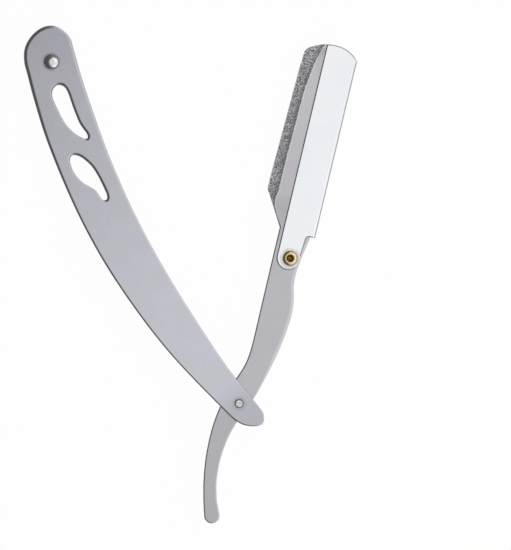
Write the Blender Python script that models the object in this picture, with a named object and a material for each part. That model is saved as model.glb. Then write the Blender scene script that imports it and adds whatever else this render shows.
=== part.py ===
"""Straight razor with a replaceable half blade, lying flat on its back with the arm part open.

World frame: origin on the handle pivot's axis, at the flat foot of the pivot rivet.
+Y runs along the handle to the end rivet, +Z up through the front scale.
The arm has its own frame on the pivot: +Y along the spine to the tip, -X to the cutting edge.
"""
import math

import bmesh
import bpy
from mathutils import Matrix, Vector

MM = 0.001

# Clearances
LAP = 0.03 * MM             # between faces that lie on each other
RUN = 0.05 * MM             # radial, round a pin or a tube
FOLD_CLEAR = 0.12 * MM      # between the folded cover and each scale
SLIDE_CLEAR = 0.08 * MM     # between the arm and each leaf of the cover

# Handle
SPAN = 119.9 * MM           # pivot to end rivet
SCALE_T = 1.0 * MM
SCALE_EDGE = 0.35 * MM      # rounding along the edges
PIVOT_REACH = 9.0 * MM      # scale's end beyond the pivot
END_REACH = 10.6 * MM       # its other end beyond the end rivet
BACK_BOW = 15.6 * MM        # outer edge's bow from the line between the rivets
FRONT_BOW = 3.7 * MM        # inner edge's reach to the other side of that line
WINDOW_REACH = 45.3 * MM    # end rivet to the far end of the lower window
REST_ANGLE = math.radians(42.2)
RIVET_HEAD_H = 0.7 * MM
RIVET_RIM_H = 0.14 * MM     # straight rim under the rounding of a head
RIVET_SHANK_R = 1.0 * MM
PIVOT_HEAD_R = 1.45 * MM
PIVOT_FLAT_R = 1.02 * MM    # flat top of each head
END_HEAD_R = 2.25 * MM
END_FLAT_R = 0.8 * MM
SPACER_R = 2.3 * MM
PIVOT_WASHER_R = 3.0 * MM
PIVOT_WASHER_T = 0.35 * MM

# Arm
TANG_T = 2.4 * MM
BED_T = 1.8 * MM
TAIL_T = 1.8 * MM           # at the tip of the tail
TANG_EDGE = 0.45 * MM       # rounding along the tang and tail
BED_EDGE = 0.05 * MM        # broken edge round the bed
TAIL_LENGTH = 38.0 * MM
TAIL_TIP_R = 2.4 * MM
TAIL_TIP_X = -0.15 * MM
TAIL_BOW = 6.35 * MM        # tail's bow from the spine line
TANG_BOW = 9.4 * MM         # tang's back edge from the spine line, at its widest
FOOT_X = -0.4 * MM          # foot of the heel's slope
BACK_END = 1.5 * MM         # bed's straight back ends above the cover's notch
TAIL_TAPER_L = 20.9 * MM    # stretch of the tail that thins to its tip
TIP_CLEAR = 3.55 * MM       # folded tip to the end rivet's head
CROWN_X = 3.8 * MM          # highest point of the arc across the end of the head
CROWN_BACK_R = 9.3 * MM     # its radius towards the spine
CROWN_FRONT_R = 16.3 * MM   # and towards the cutting edge
TIP_CORNER_R = 2.6 * MM
HEEL_CORNER_R = 1.5 * MM
HEEL_MARGIN = 2.3 * MM      # heel corner below the blade's cutting edge
HEEL_DROP = 10.8 * MM       # heel corner down to the foot of its slope
HEEL_FOOT_R = 1.2 * MM
TAPER_BELOW_EAR = 4.5 * MM  # tang reaches its full thickness below the cover's ear
TAPER_LENGTH = 10.0 * MM
EDGE_TILT = math.radians(1.55)
GRIND_T = 0.35 * MM         # left at the edge of the bed by the grind
GRIND_W = 3.1 * MM          # width of the grind along the edge
# Its width further out, by distance above the heel corner and above the crown
GRIND_LOW = [(-HEEL_DROP, 1.2 * MM), (-3.5 * MM, 2.7 * MM), (0.0, 3.4 * MM), (12.0 * MM, GRIND_W)]
GRIND_HIGH = [(-15.0 * MM, GRIND_W), (-7.0 * MM, 3.95 * MM), (-1.5 * MM, 5.2 * MM), (3.0 * MM, 7.0 * MM)]

# Cover
SHEET_T = 0.5 * MM
COVER_W = 10.2 * MM         # front leaf, free edge to spine
FOLD_R = 1.1 * MM           # outside of the folded spine
BED_TO_SPINE = 0.55 * MM
EAR_R = 3.7 * MM
EAR_SHIFT = 0.45 * MM       # ear's centre ahead of the rivet
NOTCH_RISE = 7.8 * MM       # spine's lower end above the rivet
NOTCH_X = 3.45 * MM         # neck of the front leaf behind the rivet
EAR_NECK = 2.95 * MM        # ear's round ends this far behind the rivet
NOTCH_R = 0.9 * MM
BACK_LEAF_MARGIN = 1.7 * MM # back leaf short of the bed's edge
EXPOSED_W = 7.6 * MM        # bed ahead of the front leaf, at the heel
HEEL_TO_PIVOT = 19.4 * MM

# Hollow rivet that the cover turns on
COVER_PIVOT_X = 4.9 * MM
COVER_BORE_R = 1.03 * MM
COVER_BORE_D = 3.4 * MM     # depth of the blind hole under the rolled lip
COVER_BORE_CONE = 0.4 * MM  # its pointed bottom
COVER_TUBE_R = 1.5 * MM
COVER_LIP_R = 2.25 * MM
COVER_LIP_H = 0.5 * MM
COVER_RIM_H = 0.05 * MM     # straight foot of the rolled lip
COVER_WASHER_R = 3.3 * MM
COVER_WASHER_T = 0.25 * MM

# Half blade
BLADE_T = 0.1 * MM
BLADE_EDGE_T = 0.008 * MM   # at the cutting edge
BLADE_LENGTH = 42.9 * MM
BLADE_DEPTH = 11.6 * MM     # cutting edge to the ends of the tabs
BLADE_EDGE_L = 38.1 * MM
BLADE_EDGE_D = 2.6 * MM     # depth of the part that carries the edge
BLADE_NECK = 0.5 * MM       # step in from the edge part to the neck
BLADE_TAB_D = 4.55 * MM     # tabs begin here
BLADE_TAB_W = 3.6 * MM
BLADE_BACK_D = 10.0 * MM    # snapped line between the tabs
BLADE_GRIND = 0.7 * MM
BLADE_SHOW = 0.15 * MM      # edge ahead of the bed
BLADE_HOLE_R = 0.35 * MM
BLADE_HOLE_D = 8.0 * MM     # hole's depth from the cutting edge
BLADE_NIP = 0.4 * MM        # clipped corners
TOP_MARGIN = 4.85 * MM      # blade's upper end below the crown
POCKET_D = 0.15 * MM
POCKET_CLEAR = 0.2 * MM
PIN_R = 0.6 * MM
PIN_PRESS = 0.02 * MM       # radial, pin in the bed
# Notches in the snapped line: centre, half width at the mouth and at the bottom, height
NOTCHES = [(16.75 * MM, 0.95 * MM, 0.35 * MM, 1.93 * MM),
           (12.7 * MM, 2.0 * MM, 0.3 * MM, 1.58 * MM),
           (8.1 * MM, 1.25 * MM, 0.35 * MM, 1.93 * MM),
           (0.0 * MM, 2.1 * MM, 0.75 * MM, 0.95 * MM)]
PIN_NOTCH = NOTCHES[2]

# Finishes: colour, roughness, metallic
SATIN_STEEL = ((0.48, 0.48, 0.50), 0.40, 1.0)
ARM_STEEL = ((0.47, 0.47, 0.49), 0.42, 1.0)
BRIGHT_STEEL = ((0.64, 0.64, 0.65), 0.22, 1.0)
BLADE_STEEL = ((0.70, 0.71, 0.73), 0.18, 1.0)
POLISHED_STEEL = ((0.86, 0.87, 0.89), 0.12, 1.0)
BRASS = ((0.78, 0.62, 0.30), 0.25, 1.0)
NICKEL = ((0.85, 0.84, 0.80), 0.30, 1.0)

# Fineness of round stretches
ROUND_STEPS = 28
PIN_STEPS = 16
CURVE_STEPS = 3
WINDOW_STEPS = 2
CROWN_STEPS = 9
FILLET_STEPS = 5
SMALL_STEPS = 3
CROWN_CHORD = 4.0 * MM      # run of the crown that its front corner is rounded into
WELD = 0.0001 * MM          # points this close are one
OVERCUT = 1.0 * MM          # cutters run past the material

# Heights from the middle plane. The cover folds in between the scales; its rivet's washers
# don't, and stop the arm against the scales' edges.
BED_HALF = BED_T / 2
LEAF_IN = BED_HALF + SLIDE_CLEAR
LEAF_OUT = LEAF_IN + SHEET_T
WASHER_IN = LEAF_OUT + LAP
WASHER_OUT = WASHER_IN + COVER_WASHER_T
LIP_IN = WASHER_OUT + LAP
TANG_HALF = TANG_T / 2
HALF_GAP = max(LEAF_OUT + FOLD_CLEAR, TANG_HALF + PIVOT_WASHER_T + 2 * LAP)
SCALE_OUT = HALF_GAP + SCALE_T
HEAD_IN = SCALE_OUT + LAP
HEAD_OUT = HEAD_IN + RIVET_HEAD_H
MID_Z = HEAD_OUT

# Places in the arm's frame
CROWN_TOP = SPAN - END_HEAD_R - TIP_CLEAR
BLADE_Y = CROWN_TOP - TOP_MARGIN - BLADE_LENGTH / 2
HEEL_Y = BLADE_Y - BLADE_EDGE_L / 2 - HEEL_MARGIN
COVER_PIVOT_Y = HEEL_Y - HEEL_TO_PIVOT
EAR_X = COVER_PIVOT_X - EAR_SHIFT
COVER_FRONT = EAR_X - EAR_R
SPINE_X = COVER_FRONT + COVER_W
BED_BACK = SPINE_X - SHEET_T - BED_TO_SPINE
NOTCH_Y = COVER_PIVOT_Y + NOTCH_RISE
EDGE_X = COVER_FRONT - EXPOSED_W
EDGE_DIR = Vector((math.sin(EDGE_TILT), math.cos(EDGE_TILT)))
INWARD = Vector((math.cos(EDGE_TILT), -math.sin(EDGE_TILT)))
HEEL = Vector((EDGE_X, HEEL_Y))
TAPER_TOP = COVER_PIVOT_Y - EAR_R - TAPER_BELOW_EAR
TAIL_TAPER = TAIL_TAPER_L - TAIL_LENGTH


def along_edge(y, inward=0.0):
    """Point of the bed's edge line at height y, moved inward by a distance."""
    run = (y - HEEL.y) / EDGE_DIR.y
    return HEEL + EDGE_DIR * run + INWARD * inward


def arc(centre, radius, start, end, steps):
    """Points of an arc between two angles in degrees, both ends included."""
    turn = [math.radians(start + (end - start) * i / steps) for i in range(steps + 1)]
    return [Vector((centre[0] + radius * math.cos(a), centre[1] + radius * math.sin(a))) for a in turn]


def circle(centre, radius, steps=ROUND_STEPS):
    return arc(centre, radius, 0, 360, steps)[:-1]


def smooth(points, steps=CURVE_STEPS, closed=False):
    """Curve through hand-chosen points, its tangents set by their neighbours."""
    pts = [Vector(p) for p in points]
    count = len(pts)
    out = []
    for i in range(count if closed else count - 1):
        p1, p2 = pts[i], pts[(i + 1) % count]
        p0 = pts[i - 1] if closed or i else p1
        p3 = pts[(i + 2) % count] if closed or i + 2 < count else p2
        for k in range(steps):
            t = k / steps
            out.append(0.5 * (2 * p1 + (p2 - p0) * t + (2 * p0 - 5 * p1 + 4 * p2 - p3) * t * t
                              + (3 * p1 - p0 - 3 * p2 + p3) * t ** 3))
    if not closed:
        out.append(pts[-1])
    return out


def fillet(before, corner, after, radius, steps=FILLET_STEPS):
    """Arc that rounds a corner between two straight runs."""
    corner = Vector(corner)
    u = (Vector(before) - corner).normalized()
    v = (Vector(after) - corner).normalized()
    half = math.acos(max(-1.0, min(1.0, u.dot(v)))) / 2
    centre = corner + (u + v).normalized() * radius / math.sin(half)
    first = corner + u * radius / math.tan(half) - centre
    last = corner + v * radius / math.tan(half) - centre
    swing = first.angle_signed(last)
    return [centre + Matrix.Rotation(-swing * i / steps, 2) @ first for i in range(steps + 1)]


def crown_y(x):
    """Height of the crown at x: two arcs that meet at its highest point."""
    radius = CROWN_BACK_R if x > CROWN_X else CROWN_FRONT_R
    return CROWN_TOP - radius + math.sqrt(radius ** 2 - (x - CROWN_X) ** 2)


def crown(x_from, x_to):
    """Points of the crown between two x values."""
    stations = [x_from + (x_to - x_from) * i / CROWN_STEPS for i in range(CROWN_STEPS + 1)]
    return [Vector((x, crown_y(x))) for x in stations]


def crown_corner(inward):
    """Where the crown meets the edge line, moved inward, and a point further along the crown."""
    x = along_edge(CROWN_TOP, inward).x
    return Vector((x, crown_y(x))), Vector((x + CROWN_CHORD, crown_y(x + CROWN_CHORD)))


def area(points):
    return sum(a.x * b.y - b.x * a.y for a, b in zip(points, points[1:] + points[:1])) / 2


def inset_loop(points, width):
    """Loop moved towards its own material; width is a number or a function of a point."""
    out = []
    for i, p in enumerate(points):
        a = (p - points[i - 1]).normalized()
        b = (points[(i + 1) % len(points)] - p).normalized()
        bisector = (Vector((-a.y, a.x)) + Vector((-b.y, b.x))).normalized()
        reach = max(0.5, bisector.dot(Vector((-a.y, a.x))))
        size = width(p) if callable(width) else width
        out.append(p + bisector * size / reach)
    return out


def plate(outer, holes, low, high, edge=0.0):
    """Flat plate as a bmesh, with a chamfer of the width edge along every edge."""
    bm = bmesh.new()
    loops = [outer if area(outer) > 0 else outer[::-1]]
    loops += [h if area(h) < 0 else h[::-1] for h in holes]
    caps = {low: [], high: []}
    for loop in loops:
        if edge:
            inner = inset_loop(loop, edge)
            drops = [edge(p) if callable(edge) else edge for p in loop]
            layers = [[(p, low) for p in inner],
                      [(p, low + d) for p, d in zip(loop, drops)],
                      [(p, high - d) for p, d in zip(loop, drops)],
                      [(p, high) for p in inner]]
        else:
            layers = [[(p, low) for p in loop], [(p, high) for p in loop]]
        rings = [[bm.verts.new((p.x, p.y, z)) for p, z in layer] for layer in layers]
        for lower, upper in zip(rings, rings[1:]):
            for i in range(len(loop)):
                bm.faces.new((lower[i - 1], lower[i], upper[i], upper[i - 1]))
        for level, ring in ((low, rings[0]), (high, rings[-1])):
            caps[level] += [bm.edges.get((ring[i - 1], ring[i])) for i in range(len(ring))]
    for edges in caps.values():
        bmesh.ops.triangle_fill(bm, edges=edges, use_beauty=True)
    bmesh.ops.recalc_face_normals(bm, faces=bm.faces)
    return bm


def set_thickness(bm, breaks, factor, axis):
    """Split a plate across one axis, then scale its height about the middle by factor(point)."""
    normal = Vector((0, 0, 0))
    normal[axis] = 1
    for place in breaks:
        geometry = bm.verts[:] + bm.edges[:] + bm.faces[:]
        bmesh.ops.bisect_plane(bm, geom=geometry, plane_co=normal * place, plane_no=normal)
    for v in bm.verts:
        v.co.z = MID_Z + (v.co.z - MID_Z) * factor(v.co)


def turned(profile, steps=ROUND_STEPS):
    """Solid of revolution about Z from (radius, z) points; it closes on the axis or on itself."""
    bm = bmesh.new()
    verts = [bm.verts.new((r, 0, z)) for r, z in profile]
    edges = [bm.edges.new(pair) for pair in zip(verts, verts[1:])]
    if profile[0][0] > 0:
        edges.append(bm.edges.new((verts[-1], verts[0])))
    bmesh.ops.spin(bm, geom=verts + edges, cent=(0, 0, 0), axis=(0, 0, 1), angle=math.tau, steps=steps,
                   use_merge=True)
    bmesh.ops.remove_doubles(bm, verts=bm.verts, dist=WELD)
    bmesh.ops.recalc_face_normals(bm, faces=bm.faces)
    return bm


def ring(inner, outer, low, high):
    """Washer or short tube."""
    return turned([(inner, low), (outer, low), (outer, high), (inner, high)])


def finish(name, look):
    """Material of one sub-part."""
    colour, roughness, metallic = look
    material = bpy.data.materials.new(name)
    material.use_nodes = True
    shader = material.node_tree.nodes["Principled BSDF"]
    shader.inputs["Base Color"].default_value = (*colour, 1.0)
    shader.inputs["Roughness"].default_value = roughness
    shader.inputs["Metallic"].default_value = metallic
    material.diffuse_color = (*colour, 1.0)
    return material


def solid(name, bm, look=None, parent=None, sharp=40):
    """Object from a bmesh, shaded smooth except across sharp edges."""
    mesh = bpy.data.meshes.new(name)
    bm.to_mesh(mesh)
    bm.free()
    mesh.shade_smooth()
    mesh.set_sharp_from_angle(angle=math.radians(sharp))
    obj = bpy.data.objects.new(name, mesh)
    obj.parent = parent
    bpy.context.scene.collection.objects.link(obj)
    if look:
        mesh.materials.append(finish(name, look))
    return obj


def cutter(name, bm, parent):
    """Helper object that only shapes others."""
    obj = solid(name, bm, None, parent)
    obj.hide_render = True
    obj.display_type = "WIRE"
    return obj


def combine(obj, other, operation):
    modifier = obj.modifiers.new(other.name, "BOOLEAN")
    modifier.object = other
    modifier.operation = operation
    modifier.solver = "EXACT"


def frame(name, place, angle, parent=None):
    """Empty that carries a moving group, its Z on the joint's axis."""
    empty = bpy.data.objects.new(name, None)
    empty.location = place
    empty.rotation_euler.z = angle
    empty.parent = parent
    bpy.context.scene.collection.objects.link(empty)
    return empty


def scale_outline():
    """Outline of a handle scale: points round the pivot, along the span and round the end rivet."""
    pivot_end = [(0.533, -0.467), (0.528, -0.8), (0.344, -1.0), (0.022, -0.9), (-0.3, -0.611),
                 (-0.544, 0.0)]
    back = [(-0.667, 0.167), (-0.859, 0.3), (-0.981, 0.45), (-1.0, 0.58), (-0.942, 0.705), (-0.821, 0.834)]
    end = [(-0.972, -0.717), (-0.792, 0.009), (-0.689, 0.387), (-0.481, 0.726), (-0.132, 0.943),
           (0.283, 1.0), (0.623, 0.83), (0.802, 0.425), (0.745, 0.075), (0.557, -0.745)]
    head_side = [(1.0, 0.834), (0.351, 0.7), (-0.054, 0.54), (-0.054, 0.37), (0.324, 0.175),
                 (0.703, 0.067)]
    points = [(x * PIVOT_REACH, y * PIVOT_REACH) for x, y in pivot_end]
    points += [(x * BACK_BOW, share * SPAN) for x, share in back]
    points += [(x * END_REACH, SPAN + y * END_REACH) for x, y in end]
    points += [(x * FRONT_BOW, share * SPAN) for x, share in head_side]
    return smooth(points, closed=True)


def cut_outs():
    """Two curved windows below the end rivet."""
    upper = [(-0.053, -0.15), (-0.011, -0.177), (-0.002, -0.234), (-0.02, -0.342), (-0.033, -0.464),
             (-0.024, -0.547), (-0.044, -0.572), (-0.088, -0.514), (-0.119, -0.419), (-0.121, -0.309),
             (-0.106, -0.19)]
    lower = [(-0.183, -0.62), (-0.139, -0.658), (-0.102, -0.755), (-0.097, -0.872), (-0.106, -0.976),
             (-0.128, -1.0), (-0.152, -0.976), (-0.161, -0.901), (-0.208, -0.821), (-0.23, -0.728),
             (-0.216, -0.645)]
    windows = [[(x * WINDOW_REACH, SPAN + y * WINDOW_REACH) for x, y in shape] for shape in (upper, lower)]
    return [smooth(window, WINDOW_STEPS, closed=True) for window in windows]


def arm_outline():
    """Outline of the arm, from the tail's tip up the cutting side and down the spine side."""
    reach = TAIL_LENGTH - TAIL_TIP_R
    tip = Vector((TAIL_TIP_X, -reach))
    tail_front = [(-0.583, 0.9), (-0.819, 0.72), (-0.984, 0.5), (-1.0, 0.25), (-0.795, 0.0)]
    tang_front = [(-0.287, 0.15), (-0.106, 0.26), (-0.037, 0.38), (-0.037, 0.6), (-0.043, 0.95)]
    tang_back = [(0.979, 1.123), (0.894, 1.03), (0.83, 0.92), (0.851, 0.83), (0.947, 0.75), (1.0, 0.65),
                 (0.957, 0.52), (0.84, 0.37), (0.617, 0.18), (0.351, 0.0)]
    tail_back = [(0.142, 0.15), (-0.126, 0.31), (-0.252, 0.5), (-0.189, 0.7), (0.031, 0.86)]
    left = arc(tip, TAIL_TIP_R, -90, -170, FILLET_STEPS)
    left += smooth([(x * TAIL_BOW, -share * reach) for x, share in tail_front]
                   + [(x * TANG_BOW, share * COVER_PIVOT_Y) for x, share in tang_front])
    foot = Vector((FOOT_X, HEEL_Y - HEEL_DROP))
    corner = along_edge(HEEL_Y)
    tip_corner, crown_next = crown_corner(0)
    left += fillet(left[-1], foot, corner, HEEL_FOOT_R, SMALL_STEPS)
    left += fillet(foot, corner, tip_corner, HEEL_CORNER_R, SMALL_STEPS)
    left += fillet(corner, tip_corner, crown_next, TIP_CORNER_R)
    top = crown(crown_next.x, BED_BACK)
    right = [(BED_BACK, NOTCH_Y + BACK_END)]
    right += [(x * TANG_BOW, share * COVER_PIVOT_Y) for x, share in tang_back]
    right += [(x * TAIL_BOW, -share * reach) for x, share in tail_back]
    return left + top + smooth(right) + arc(tip, TAIL_TIP_R, -5, -90, FILLET_STEPS)[:-1]


def arm_factor(point):
    """Thickness along the arm, as a share of the tang's."""
    low = TAPER_TOP - TAPER_LENGTH
    if point.y > TAPER_TOP:
        return BED_T / TANG_T
    if point.y > low:
        return 1 + (BED_T / TANG_T - 1) * (point.y - low) / TAPER_LENGTH
    if point.y > TAIL_TAPER:
        return 1.0
    return 1 + (TAIL_T / TANG_T - 1) * (TAIL_TAPER - point.y) / TAIL_TAPER_L


def grind_cutter():
    """Wedge that grinds the front of the bed down towards its edge, wider at the crown."""
    face = MID_Z + BED_HALF
    drop = BED_T - POCKET_D - GRIND_T
    stations = [(HEEL_Y + up, width) for up, width in GRIND_LOW]
    stations += [(CROWN_TOP + up, width) for up, width in GRIND_HIGH]
    bm = bmesh.new()
    sections = []
    for y, width in stations:
        inner = along_edge(y, width)
        outer = along_edge(y, -OVERCUT)
        sections.append([bm.verts.new((inner.x, inner.y, face)),
                         bm.verts.new((inner.x, inner.y, face + OVERCUT)),
                         bm.verts.new((outer.x, outer.y, face + OVERCUT)),
                         bm.verts.new((outer.x, outer.y, face - drop * (1 + OVERCUT / width)))])
    for a, b in zip(sections, sections[1:]):
        for i in range(4):
            bm.faces.new((a[i - 1], a[i], b[i], b[i - 1]))
    bm.faces.new(sections[0])
    bm.faces.new(sections[-1])
    bmesh.ops.triangulate(bm, faces=bm.faces)
    bmesh.ops.recalc_face_normals(bm, faces=bm.faces)
    return bm


def pocket_cutter():
    """Shallow seat for the blade in the back of the bed, open towards the edge."""
    back = MID_Z - BED_HALF
    side = BLADE_LENGTH / 2 + POCKET_CLEAR
    depth = BLADE_DEPTH + POCKET_CLEAR
    corners = [Vector(p) for p in ((-OVERCUT, -side), (depth, -side), (depth, side), (-OVERCUT, side))]
    return plate(corners, [], back - OVERCUT, back + POCKET_D)


def pin_place():
    """Centre of a blade pin in its notch, as depth from the cutting edge."""
    mouth, bottom, height = PIN_NOTCH[1:]
    wall = Vector((mouth - bottom, height)).normalized()
    room = (PIN_R + RUN - bottom * wall.y) / wall.x
    return BLADE_BACK_D - height + max(room, PIN_R + RUN)


def blade_outline():
    """Half blade: straight cutting edge, stepped neck, tabs and a notched back line."""
    half_edge = BLADE_EDGE_L / 2
    half_neck = half_edge - BLADE_NECK
    half_length = BLADE_LENGTH / 2
    nip = BLADE_NIP
    side = [(0.0, half_edge - nip), (nip, half_edge), (BLADE_EDGE_D, half_edge),
            (BLADE_EDGE_D + nip, half_neck), (BLADE_TAB_D, half_neck), (BLADE_TAB_D, half_length - nip),
            (BLADE_TAB_D + nip, half_length), (BLADE_DEPTH - nip, half_length),
            (BLADE_DEPTH, half_length - nip), (BLADE_DEPTH, half_length - BLADE_TAB_W + nip),
            (BLADE_DEPTH - nip, half_length - BLADE_TAB_W)]
    for centre, mouth, bottom, height in NOTCHES:
        top = BLADE_BACK_D - height
        side += [(BLADE_BACK_D, centre + mouth), (top, centre + bottom)]
        if centre:
            side += [(top, centre - bottom), (BLADE_BACK_D, centre - mouth)]
    mirrored = [(d, -s) for d, s in reversed(side)]
    return [Vector(p) for p in side + mirrored]


def blade_factor(point):
    """The cutting edge thins to a fine line."""
    return max(BLADE_EDGE_T / BLADE_T, min(1.0, point.x / BLADE_GRIND))


def cover_section():
    """Folded sheet seen along the spine: two leaves and a round fold, as (x, z) points."""
    outer = SPINE_X - FOLD_R
    inner_r = FOLD_R - SHEET_T
    free = EDGE_X - OVERCUT
    low = LEAF_OUT - FOLD_R
    section = [Vector((free, -LEAF_OUT))]
    section += arc((outer, -low), FOLD_R, -90, 0, FILLET_STEPS)
    section += arc((outer, low), FOLD_R, 0, 90, FILLET_STEPS)
    section += [Vector((free, LEAF_OUT)), Vector((free, LEAF_IN))]
    section += arc((outer, low), inner_r, 90, 0, FILLET_STEPS)
    section += arc((outer, -low), inner_r, 0, -90, FILLET_STEPS)
    section += [Vector((free, -LEAF_IN))]
    return section


def folded_sheet():
    """Folded sheet along the spine, in the cover's own frame."""
    bm = bmesh.new()
    ends = []
    section = cover_section()
    for y in (COVER_PIVOT_Y - EAR_R - OVERCUT, CROWN_TOP + OVERCUT):
        ends.append([bm.verts.new((p.x - COVER_PIVOT_X, y - COVER_PIVOT_Y, MID_Z + p.y)) for p in section])
    for i in range(len(ends[0])):
        bm.faces.new((ends[0][i - 1], ends[0][i], ends[1][i], ends[1][i - 1]))
    bm.faces.new(ends[0])
    bm.faces.new(ends[1])
    bmesh.ops.recalc_face_normals(bm, faces=bm.faces)
    return bm


def ear():
    """Round end of a leaf, from its front edge down round the rivet."""
    side = math.degrees(math.acos((COVER_PIVOT_X + EAR_NECK - EAR_X) / EAR_R))
    return arc((EAR_X, COVER_PIVOT_Y), EAR_R, 180, 360 + side, PIN_STEPS)


def leaf_outline(front):
    """Outline of one leaf; past the spine it runs on, so that the fold stays whole."""
    beyond = SPINE_X + OVERCUT
    neck = Vector((COVER_PIVOT_X + NOTCH_X, NOTCH_Y))
    round_end = ear()
    notch = fillet(round_end[-1], neck, (beyond, NOTCH_Y), NOTCH_R)
    top_right = [Vector((beyond, NOTCH_Y)), Vector((beyond, crown_y(SPINE_X)))]
    if front:
        return round_end + notch + top_right + crown(SPINE_X, COVER_FRONT)
    corner, beside = crown_corner(BACK_LEAF_MARGIN)
    heel = along_edge(HEEL_Y, BACK_LEAF_MARGIN)
    foot = Vector((COVER_FRONT, HEEL_Y - HEEL_DROP + BACK_LEAF_MARGIN))
    crest = crown(SPINE_X, beside.x)
    crest += fillet(beside, corner, heel, TIP_CORNER_R)
    crest += fillet(corner, heel, foot, HEEL_CORNER_R, SMALL_STEPS)
    return round_end + notch + top_right + crest + [foot]


def leaf_trim(front):
    """Prism of one leaf's outline, in the cover's own frame."""
    shift = Vector((COVER_PIVOT_X, COVER_PIVOT_Y))
    points = [p - shift for p in leaf_outline(front)]
    hole = circle((0, 0), COVER_TUBE_R + RUN)
    far = LEAF_OUT + OVERCUT
    low, high = (MID_Z - LAP, MID_Z + far) if front else (MID_Z - far, MID_Z + LAP)
    return plate(points, [hole], low, high)


def rivet_profile(head_r, flat_r):
    """Shank with two equal heads, each rounded from a flat to its rim."""
    low_head = [(flat_r + (head_r - flat_r) * math.sin(a), (RIVET_HEAD_H - RIVET_RIM_H) * (1 - math.cos(a)))
                for a in [math.pi / 2 * i / FILLET_STEPS for i in range(FILLET_STEPS + 1)]]
    under = MID_Z - HEAD_IN
    half = [(0, 0)] + low_head + [(head_r, under), (RIVET_SHANK_R, under)]
    return half + [(r, 2 * MID_Z - z) for r, z in reversed(half)]


def cover_rivet_profile():
    """Hollow rivet: a low round head at the back, a blind hole and a rolled lip in front."""
    lip_mid = (COVER_LIP_R + COVER_BORE_R) / 2
    lip_half = (COVER_LIP_R - COVER_BORE_R) / 2
    rise = COVER_LIP_H - COVER_RIM_H
    quarter = [math.pi / 2 * i / FILLET_STEPS for i in range(FILLET_STEPS + 1)]
    head = [(COVER_LIP_R * math.sin(a), -LIP_IN - COVER_RIM_H - rise * math.cos(a)) for a in quarter]
    shank = [(COVER_LIP_R, -LIP_IN), (COVER_TUBE_R, -LIP_IN), (COVER_TUBE_R, LIP_IN), (COVER_LIP_R, LIP_IN)]
    lip = [(lip_mid + lip_half * math.cos(2 * a), LIP_IN + COVER_RIM_H + rise * math.sin(2 * a))
           for a in quarter]
    floor = LIP_IN + COVER_LIP_H - COVER_BORE_D
    hole = [(COVER_BORE_R, floor), (0, floor - COVER_BORE_CONE)]
    return [(r, MID_Z + z) for r, z in head + shank + lip + hole]


def build_handle():
    """Two scales, held together and apart at the far end, with the pivot's rivet and washers."""
    bore = RIVET_SHANK_R + RUN
    holes = [circle((0, 0), bore), circle((0, SPAN), bore)] + cut_outs()
    outline = scale_outline()
    for name, low in (("back_scale", MID_Z - SCALE_OUT), ("front_scale", MID_Z + HALF_GAP)):
        solid(name, plate(outline, holes, low, low + SCALE_T, SCALE_EDGE), SATIN_STEEL)
    far = frame("end_rivet_axis", (0, SPAN, 0), 0)
    reach = HALF_GAP - LAP
    solid("end_spacer", ring(bore, SPACER_R, MID_Z - reach, MID_Z + reach), BRIGHT_STEEL, far)
    solid("end_rivet", turned(rivet_profile(END_HEAD_R, END_FLAT_R)), BRIGHT_STEEL, far)
    solid("pivot_rivet", turned(rivet_profile(PIVOT_HEAD_R, PIVOT_FLAT_R)), BRIGHT_STEEL)
    for name, side in (("pivot_washer_front", 1), ("pivot_washer_back", -1)):
        ends = sorted(MID_Z + side * h for h in (TANG_HALF + LAP, HALF_GAP - LAP))
        solid(name, ring(bore, PIVOT_WASHER_R, *ends), BRIGHT_STEEL)


def build_arm(arm, seat, pins):
    """Tail, tang and bed in one piece, ground along the front of its edge and pocketed behind."""
    cover_pivot = Vector((COVER_PIVOT_X, COVER_PIVOT_Y))
    spots = [seat + INWARD * pin_place() + EDGE_DIR * along for along in pins]
    holes = [circle((0, 0), RIVET_SHANK_R + RUN), circle(cover_pivot, COVER_TUBE_R + RUN)]
    holes += [circle(p, PIN_R + PIN_PRESS, PIN_STEPS) for p in spots]

    def edge(p):
        to_hole = min((p - h).length for h in [Vector((0, 0)), cover_pivot] + spots)
        if to_hole < COVER_TUBE_R + 2 * RUN:
            return BED_EDGE
        share = (p.y - TAPER_TOP + TAPER_LENGTH) / TAPER_LENGTH
        return TANG_EDGE + (BED_EDGE - TANG_EDGE) * max(0.0, min(1.0, share))

    bm = plate(arm_outline(), holes, MID_Z - TANG_HALF, MID_Z + TANG_HALF, edge)
    set_thickness(bm, (TAPER_TOP, TAPER_TOP - TAPER_LENGTH, TAIL_TAPER), arm_factor, 1)
    blade_arm = solid("blade_arm", bm, ARM_STEEL, arm)
    combine(blade_arm, cutter("grind_wedge", grind_cutter(), arm), "DIFFERENCE")
    return blade_arm


def build_blade(blade_arm, blade_seat, pins):
    """Half blade in its pocket, held by two pins that stand in the notches of its back."""
    combine(blade_arm, cutter("blade_pocket", pocket_cutter(), blade_seat), "DIFFERENCE")
    low = MID_Z - BED_HALF + LAP
    high = MID_Z + BED_HALF - LAP
    for name, along in zip(("blade_pin_lower", "blade_pin_upper"), pins):
        axis = frame(name + "_axis", (pin_place(), along, 0), 0, blade_seat)
        pin = turned([(0, low), (PIN_R, low), (PIN_R, high), (0, high)], PIN_STEPS)
        solid(name, pin, BRIGHT_STEEL, axis)
    hole = circle((BLADE_HOLE_D, 0), BLADE_HOLE_R, PIN_STEPS)
    bm = plate(blade_outline(), [hole], MID_Z - BLADE_T / 2, MID_Z + BLADE_T / 2)
    set_thickness(bm, (BLADE_GRIND,), blade_factor, 0)
    drop = BED_HALF - POCKET_D + LAP / 2 + BLADE_T / 2
    bmesh.ops.translate(bm, vec=(0, 0, -drop), verts=bm.verts)
    solid("half_blade", bm, BLADE_STEEL, blade_seat)


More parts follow.
